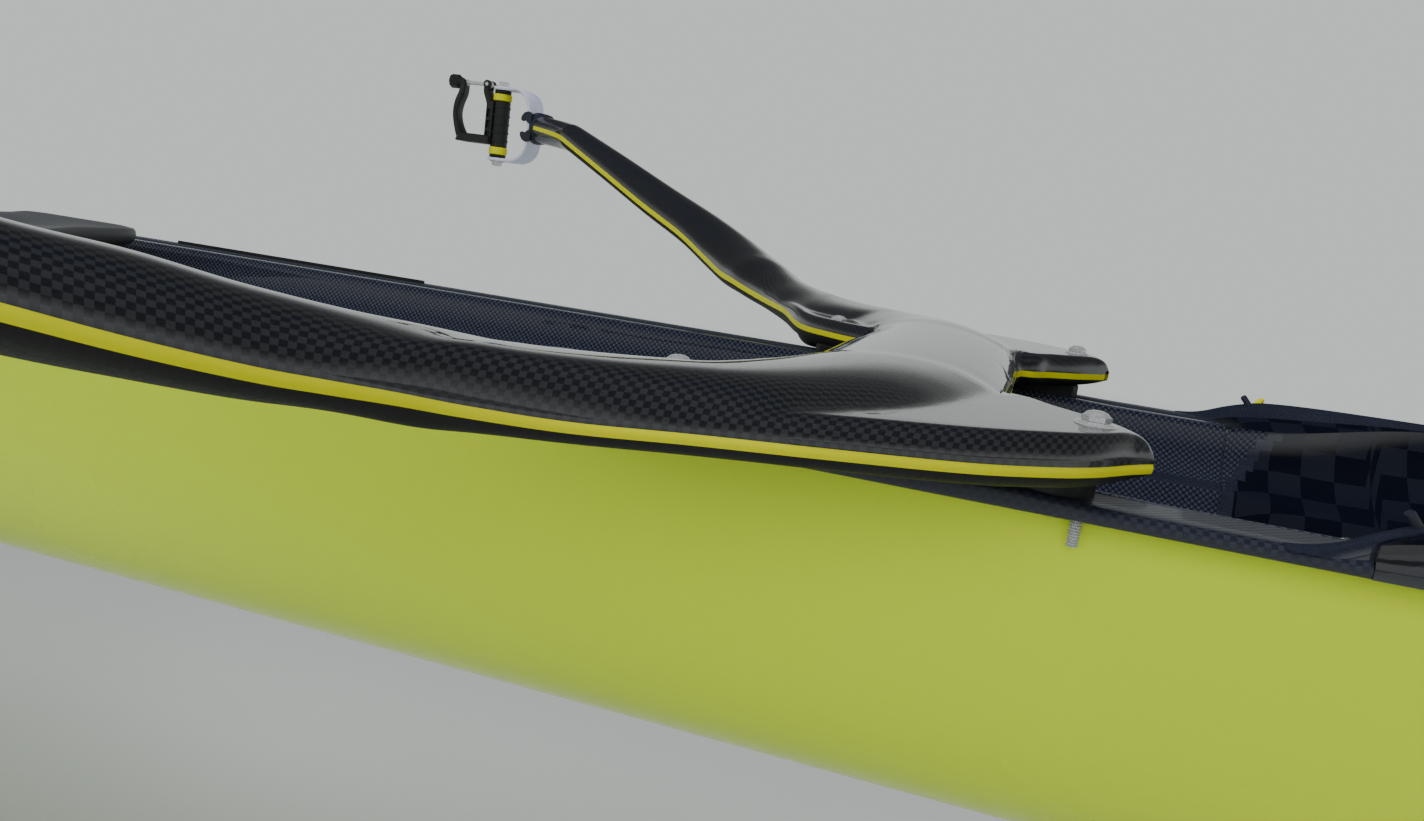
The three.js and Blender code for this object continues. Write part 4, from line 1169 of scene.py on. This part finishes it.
def seat_top(u, v):
    """Height of the seat at shares of its length and width, from -1 to 1: two hollows between a ridge and a
    raised back rim."""
    hollow = 0
    for heart in (-0.42, 0.42):
        hollow += 9 * math.exp(-((u + 0.05) / 0.5) ** 2 - ((v - heart) / 0.3) ** 2)
    rim = 3.2 * smooth(u, 0.62, 0.95) + 2.0 * smooth(abs(v), 0.8, 0.97)
    front = -7 * smooth(-u, 0.6, 1.0)
    dip = 4 * math.exp(-(v / 0.14) ** 2) * smooth(u, 0.1, 0.9)
    return SEAT_TOP + rim + front - hollow - dip


def seat(name, heart_x):
    """A moulded seat: crowned top with two hollows, rolled edges and a flat underside."""
    squareness, count = 0.42, 96
    outline = []
    for i in range(count):
        a = 2 * math.pi * i / count
        c, s = math.cos(a), math.sin(a)
        x = SEAT_HALF_LENGTH * math.copysign(abs(c) ** squareness, c)
        y = SEAT_HALF_WIDTH * math.copysign(abs(s) ** squareness, s)
        outline.append((x * (1 - 0.03 * s * s), y * (0.955 - 0.045 * math.cos(2 * a) + 0.02 * c)))

    def top(x, y):
        return seat_top(x / SEAT_HALF_LENGTH, y / SEAT_HALF_WIDTH)

    rings = []
    for share in (0.02, 0.1, 0.2, 0.3, 0.4, 0.5, 0.6, 0.7, 0.78, 0.85, 0.9, 0.94, 0.965):
        rings.append([(x * share, y * share, top(x * share, y * share)) for x, y in outline])
    for share, drop in ((0.985, 1.4), (0.997, 4), (1.0, 7.5), (0.996, 12), (0.98, 16), (0.95, 18.5), (0.9, 19.8)):
        rings.append([(x * share, y * share, max(SEAT_BASE, top(x, y) - drop)) for x, y in outline])
    for share in (0.8, 0.02):
        rings.append([(x * share, y * share, SEAT_BASE) for x, y in outline])
    return skin(name, [[(heart_x + x, y, z) for x, y, z in ring] for ring in rings], crease=60)


def carriage(name, heart_x):
    """Two cheeks that hold the axles in bushes, with a cross beam under the seat."""
    parts = []
    outline = [(-74, 99), (-68, 95.5), (-50, 95.5), (-44, 99), (-34, 121), (-28, 124), (28, 124), (34, 121), (44, 99),
               (50, 95.5), (68, 95.5), (74, 99), (68, 130), (62, 150), (-62, 150), (-68, 130)]
    for side in (-1, 1):
        parts.append(plate("cheek", outline, side * (CHEEK_Y - 3), side * (CHEEK_Y + 3), at=(heart_x, 0, 0), edge=0.9))
        for x in (-WHEEL_SPACING, WHEEL_SPACING):
            parts.append(sheath(7.4, 4.9, side * CHEEK_Y - 4.4, side * CHEEK_Y + 4.4, (heart_x + x, 0, AXLE_Z), "y",
                                0.6, 28))
    parts.append(plate("beam", bar(-14, 131, 14, 148), -86, 86, at=(heart_x, 0, 0), edge=1.2))
    return gathered(name, *parts)


# A wheel's section: radius, and distance from the boat's middle.
WHEEL = [(5, 101), (9, 101), (10, 103), (18, 103), (19.5, 101.2), (21, 101.2), (22, 102.4), (22, 115.6), (21, 116.8),
         (19.5, 116.8), (18, 115), (10, 115), (9, 117), (5, 117)]


def wheels(name, heart):
    pair = [turned("wheel", [(r, side * h) for r, h in WHEEL], heart, "y", 56, loop=True) for side in (-1, 1)]
    return gathered(name, *pair)


def axle_rod(name, heart):
    profile = [(3.2, -116.6), (4.2, -115.8), (4.2, 115.8), (3.2, 116.6)]
    return turned(name, profile, heart, "y", 28)


for place, pin_x in PLACES:
    for label, side in SIDES:
        end = f"{place}_{label}"
        fit(rail(f"rail_{end}", pin_x, side * RAIL_Y), "boat", RAIL, "silver", f"track_{end}")
        fit(rail_screws(f"rail_screws_{end}", pin_x, side * RAIL_Y), "boat", STEEL, "steel")
    heart_x = pin_x + SEAT_FROM_PIN
    fit(seat(f"seat_top_{place}", heart_x), f"seat_{place}", SEAT, "seat", f"seat_{place}")
    fit(carriage(f"seat_carriage_{place}", heart_x), f"seat_{place}", PLASTIC, "plastic")
    for label, x in (("fore", WHEEL_SPACING), ("aft", -WHEEL_SPACING)):
        end, heart = f"{place}_{label}", (heart_x + x, 0, AXLE_Z)
        fit(wheels(f"wheels_{end}", heart), f"axle_{end}", PLASTIC, "plastic", f"axle_{end}")
        fit(axle_rod(f"axle_rod_{end}", heart), f"axle_{end}", STEEL, "steel")


# Stretchers: board, bars and shoes, in the board's own frame.

LEAN = math.radians(42)
# The board's heel end from its place's pin, and its height.
HEEL_FROM_PIN, HEEL_Z = -340, -30
SHOE_Y = 62


def on_board(pin_x, s, n, y):
    """The place of a point s up the board from the heel end, n proud of it and y across."""
    return (pin_x + HEEL_FROM_PIN - math.cos(LEAN) * s + math.sin(LEAN) * n, y,
            HEEL_Z + math.sin(LEAN) * s + math.cos(LEAN) * n)


def board(name, pin_x):
    """The footboard, with its corners cut and its edges rounded."""
    outline = [(0, -104), (6, -112), (14, -115), (255, -115), (265, -111), (270, -102), (270, 102), (265, 111),
               (255, 115), (14, 115), (6, 112), (0, 104)]
    rings = [[on_board(pin_x, s, n, y) for s, y in outline] for n in (0, -9)]
    return soften(skin(name, rings, crease=None), 1.6, 3)


def stretcher_frame(name, pin_x):
    """The cross bar with its end blocks, and the foot that stands on the well's floor."""
    bar_x, _, bar_z = on_board(pin_x, 212, -16, 0)
    parts = [turned("cross", [(9.4, -131), (10, -130.2), (10, 130.2), (9.4, 131)], (bar_x, 0, bar_z), "y", 32)]
    for side in (-1, 1):
        parts.append(plate("block", bar(-20, 0, 20, bar_z + 12 - 80.4), side * 130, side * 138, at=(bar_x, 0, 80.4),
                           edge=1.4))
        parts.append(hex_nut(8, side * 124, side * 130, (bar_x, 0, bar_z), "y"))
    foot_x, _, foot_z = on_board(pin_x, 40, -8, 0)
    floor = WELL_FLOOR + GAP
    outline = [(-10, foot_z + 10), (-10, floor + 12), (-26, floor + 10), (-26, floor), (26, floor), (26, floor + 10),
               (10, floor + 12), (10, foot_z - 6)]
    parts.append(plate("foot", outline, -14, 14, at=(foot_x, 0, 0), edge=1.4))
    return gathered(name, *parts)


# A shoe's sections: distance from the heel, half width, height.
SHOE_ROWS = [(0, 21, 40), (6, 27, 52), (18, 31, 60), (45, 33, 64), (80, 33.5, 65.5), (105, 34, 62), (130, 36.5, 54),
             (155, 40, 47), (185, 42.5, 41.5), (210, 42.5, 37), (235, 38, 31.5), (252, 29, 25), (260, 18, 18),
             (262, 8, 12)]


SOLE_TOP, SHOE_ROUND, SHOE_CROWN, ARCH_STEPS = 9, 0.75, 0.8, 28


def shoe_arch(pin_x, y, s, half, height, grow=0.0):
    """A section of the upper from one side of the sole to the other."""
    arch = []
    for i in range(ARCH_STEPS + 1):
        a = math.pi * i / ARCH_STEPS
        c, up = math.cos(a), math.sin(a)
        across = math.copysign(abs(c) ** SHOE_ROUND, c) * (half + grow)
        arch.append(on_board(pin_x, s, SOLE_TOP + (height - SOLE_TOP + grow) * up ** SHOE_CROWN, y + across))
    return arch


def shoe_upper(name, pin_x, y):
    rings = []
    for s, half, height in curve(SHOE_ROWS, 5):
        foot = [on_board(pin_x, s, SOLE_TOP - 1, y + half * share) for share in (-0.7, 0.7)]
        rings.append(shoe_arch(pin_x, y, s, half, height) + foot)
    return skin(name, rings, crease=60)


def shoe_sole(name, pin_x, y):
    rings = []
    for n, grow in ((0.4, -2.5), (1.4, 0.3), (4, 1.2), (7.4, 1.2), (9.6, 0.2), (10, -2)):
        rows = [(max(0.8 - grow * 0.4, s) if s < 10 else min(s, 261.6), half) for s, half, _ in curve(SHOE_ROWS, 4)]
        rings.append([on_board(pin_x, s, n, y + half + grow) for s, half in rows]
                     + [on_board(pin_x, s, n, y - half - grow) for s, half in rows[::-1]])
    return skin(name, rings, crease=50)


def shoe_at(s):
    """The shoe's section at a distance from the heel."""
    for i, (a, b) in enumerate(zip(SHOE_ROWS, SHOE_ROWS[1:])):
        if s <= b[0]:
            return through(SHOE_ROWS, i + (s - a[0]) / (b[0] - a[0]))


def strap(name, pin_x, y, s, wide):
    """A band over the shoe from the sole on one side to the sole on the other."""
    rings = []
    for end in (-0.5, 0.5):
        row = shoe_at(s + wide * end)
        rings.append(shoe_arch(pin_x, y, *row, grow=1.6) + shoe_arch(pin_x, y, *row, grow=0.2)[::-1])
    return soften(skin(name, rings, crease=None), 0.5)


LACE_HALF_WIDTH, LACE_HALF_THICK, LACE_SIDES = 1.7, 0.9, 8


def laces(name, pin_x, y):
    """Laces crossed over the tongue in five pairs."""
    parts, steps = [], 12
    for k in range(5):
        s = 118 + 17 * k
        for lean in (-1, 1):
            rings = []
            for i in range(steps + 1):
                share = i / steps
                spot_s = s + lean * 14 * (share - 0.5)
                _, half, height = shoe_at(spot_s)
                c = lerp(-0.48, 0.48, share)
                up = math.sqrt(1 - c * c)
                lift = SOLE_TOP + (height - SOLE_TOP) * up ** SHOE_CROWN + 1.4 + (0.5 if lean > 0 else 0)
                across = math.copysign(abs(c) ** SHOE_ROUND, c) * half
                ring = []
                for j in range(LACE_SIDES):
                    b = 2 * math.pi * j / LACE_SIDES
                    ring.append(on_board(pin_x, spot_s + LACE_HALF_WIDTH * math.cos(b),
                                         lift + LACE_HALF_THICK * math.sin(b), y + across))
                rings.append(ring)
            parts.append(skin("lace", rings))
    return gathered(name, *parts)


for place, pin_x in PLACES:
    body = f"stretcher_{place}"
    fit(board(f"footboard_{place}", pin_x), body, TWILL, "carbon", f"stretcher_{place}")
    fit(stretcher_frame(f"stretcher_frame_{place}", pin_x), body, PLASTIC, "plastic")
    for label, side in SIDES:
        y = side * SHOE_Y
        end = f"{place}_{label}"
        fit(shoe_upper(f"shoe_upper_{end}", pin_x, y), body, SHOE, "shoe", f"shoe_{end}")
        fit(shoe_sole(f"shoe_sole_{end}", pin_x, y), body, SOLE, "shoe")
        fit(gathered(f"shoe_straps_{end}", strap("low", pin_x, y, 222, 26), strap("high", pin_x, y, 86, 30)), body,
            WEBBING, "shoe")
        fit(laces(f"laces_{end}", pin_x, y), body, WHITE_RUBBER, "rubber")


# Ends of the boat.

BALL_LENGTH, BALL_Z = 33, 58
FIN_LEAD, FIN_TRAIL, FIN_DEPTH = -3560, -3700, 91


def bow_ball(name):
    """The rubber ball on the bow's tip."""
    profile = [(0, 0), (15, 0), (19.4, 4), (21, 10), (20.6, 17), (18, 24), (12.6, 29.6), (6, 32.4), (0, BALL_LENGTH)]
    rows = [tuple(max(0, v) for v in row) for row in curve(profile, 3)]
    return turned(name, [(r, HULL_BOW + GAP + min(BALL_LENGTH, h)) for r, h in rows], (0, 0, BALL_Z), "x", 40)


def fin(name):
    """The blade under the stern, thinner and shorter towards its tip."""
    root_z = keel_z((FIN_LEAD + FIN_TRAIL) / 2) + 2 - GAP
    rings, steps, sides = [], 20, 24
    for i in range(steps + 1):
        share = i / steps
        lead, trail = FIN_LEAD - 46 * share ** 1.6, FIN_TRAIL + 22 * share ** 3
        ring = []
        for j in range(sides):
            a = 2 * math.pi * j / sides
            u = (1 + math.cos(a)) / 2
            thick = 2 * math.sin(a) * (0.35 + 0.65 * math.sin(math.pi * u ** 0.7)) * (1 - 0.4 * share)
            ring.append((lerp(trail, lead, u), thick, root_z - FIN_DEPTH * share))
        rings.append(ring)
    return skin(name, rings, crease=60)


fit(bow_ball("bow_ball_rubber"), "boat", WHITE_RUBBER, "rubber", "bow_ball")
fit(fin("fin_blade"), "boat", PLASTIC, "plastic", "fin")


# Floor and lights.

PALE = (0.66, 0.70, 0.69)
DARK, NAVY_DARK = (0.012, 0.014, 0.018), (0.008, 0.014, 0.045)
BRIGHT = (0.8, 0.83, 0.85)
# What glossy surfaces reflect of the room, as rows of the direction's height, from -1 to 1, and colour: ahead
# of the camera it is pale low down, behind it there is a bright band low down, and overhead it is dark. Two rows
# at one height make a sharp change.
ROOM_AHEAD = [(0.2, PALE), (0.32, (0.2, 0.21, 0.2)), (0.42, (0.05, 0.055, 0.06)), (0.72, DARK), (0.72, NAVY_DARK)]
ROOM_BEHIND = [(-0.2, (0.12, 0.13, 0.13)), (0.0, DARK), (0.08, (0.03, 0.035, 0.05)), (0.11, BRIGHT), (0.6, DARK),
               (0.6, NAVY_DARK)]
FLOOR_Z, FLOOR_HALF = -620, 60000
# Columns: name; place and aim in metres; length, width; power.
LAMPS = [
    ("overhead", (0.6, -0.4, 3.4), (0.5, 0, 0), 5.0, 2.4, 120),
    ("near_fill", (0.4, -3.6, 1.6), (0.4, 0, 0.0), 5.0, 2.0, 90),
    ("far_fill", (0.8, 3.2, 2.6), (0.6, 0, 0.1), 4.0, 1.6, 40),
]


def room():
    """The surroundings: plain and pale to the camera, shaded in reflections."""
    world = bpy.data.worlds.new("room")
    bpy.context.scene.world = world
    world.use_nodes = True
    sky = Nodes(world.node_tree)
    where = sky.node("ShaderNodeTexCoord")
    forward, height = [sky.node("ShaderNodeSeparateXYZ", {}, {0: where}, axis) for axis in (1, 2)]

    def shades(rows):
        stops = [((level + 1) / 2, (*colour, 1)) for level, colour in rows]
        return sky.node("ShaderNodeValToRGB", {"stops": stops}, {0: sky.spread(height, -1, 1)})

    reflected = sky.blend(sky.spread(forward, -0.15, 0.1), shades(ROOM_BEHIND), shades(ROOM_AHEAD))
    seen = sky.node("ShaderNodeLightPath")
    shown = sky.blend(seen, reflected, (*PALE, 1))
    world.node_tree.links.new(shown.socket, world.node_tree.nodes["Background"].inputs["Color"])


def plain_floor():
    """The floor, which takes the room's own light far from the boat, so that no edge shows."""
    pale = Finish("floor", roughness=0.55)
    cloud = pale.noise(1.3, 4)
    pale.done(base_color=pale.blend(cloud, (0.58, 0.61, 0.60, 1), (0.64, 0.67, 0.66, 1)))
    glow = pale.node("ShaderNodeEmission", {}, {"Color": (*PALE, 1)})
    reach = pale.node("ShaderNodeVectorMath", {"operation": "LENGTH"}, {0: pale.place()}, 1)
    mixed = pale.node("ShaderNodeMixShader", {}, {
        0: pale.spread(reach, 2, 8), 1: Wire(pale, pale.shader.outputs[0]), 2: glow})
    pale.tree.links.new(mixed.socket, pale.output.inputs[0])
    corners = [(x * FLOOR_HALF, y * FLOOR_HALF, FLOOR_Z) for x, y in ((-1, -1), (1, -1), (1, 1), (-1, 1))]
    floor = make("floor", corners, [(0, 1, 2, 3)])
    floor.data.materials.append(pale.material)


def soft_lights():
    for name, spot, target, long, wide, power in LAMPS:
        light = bpy.data.lights.new(name, "AREA")
        light.shape = "RECTANGLE"
        light.size, light.size_y, light.energy = long, wide, power
        lamp = bpy.data.objects.new(name, light)
        lamp.visible_glossy = False
        lamp.location = spot
        lamp.rotation_euler = (Vector(target) - Vector(spot)).to_track_quat("-Z", "Y").to_euler()
        bpy.context.scene.collection.objects.link(lamp)


room()
plain_floor()
soft_lights()
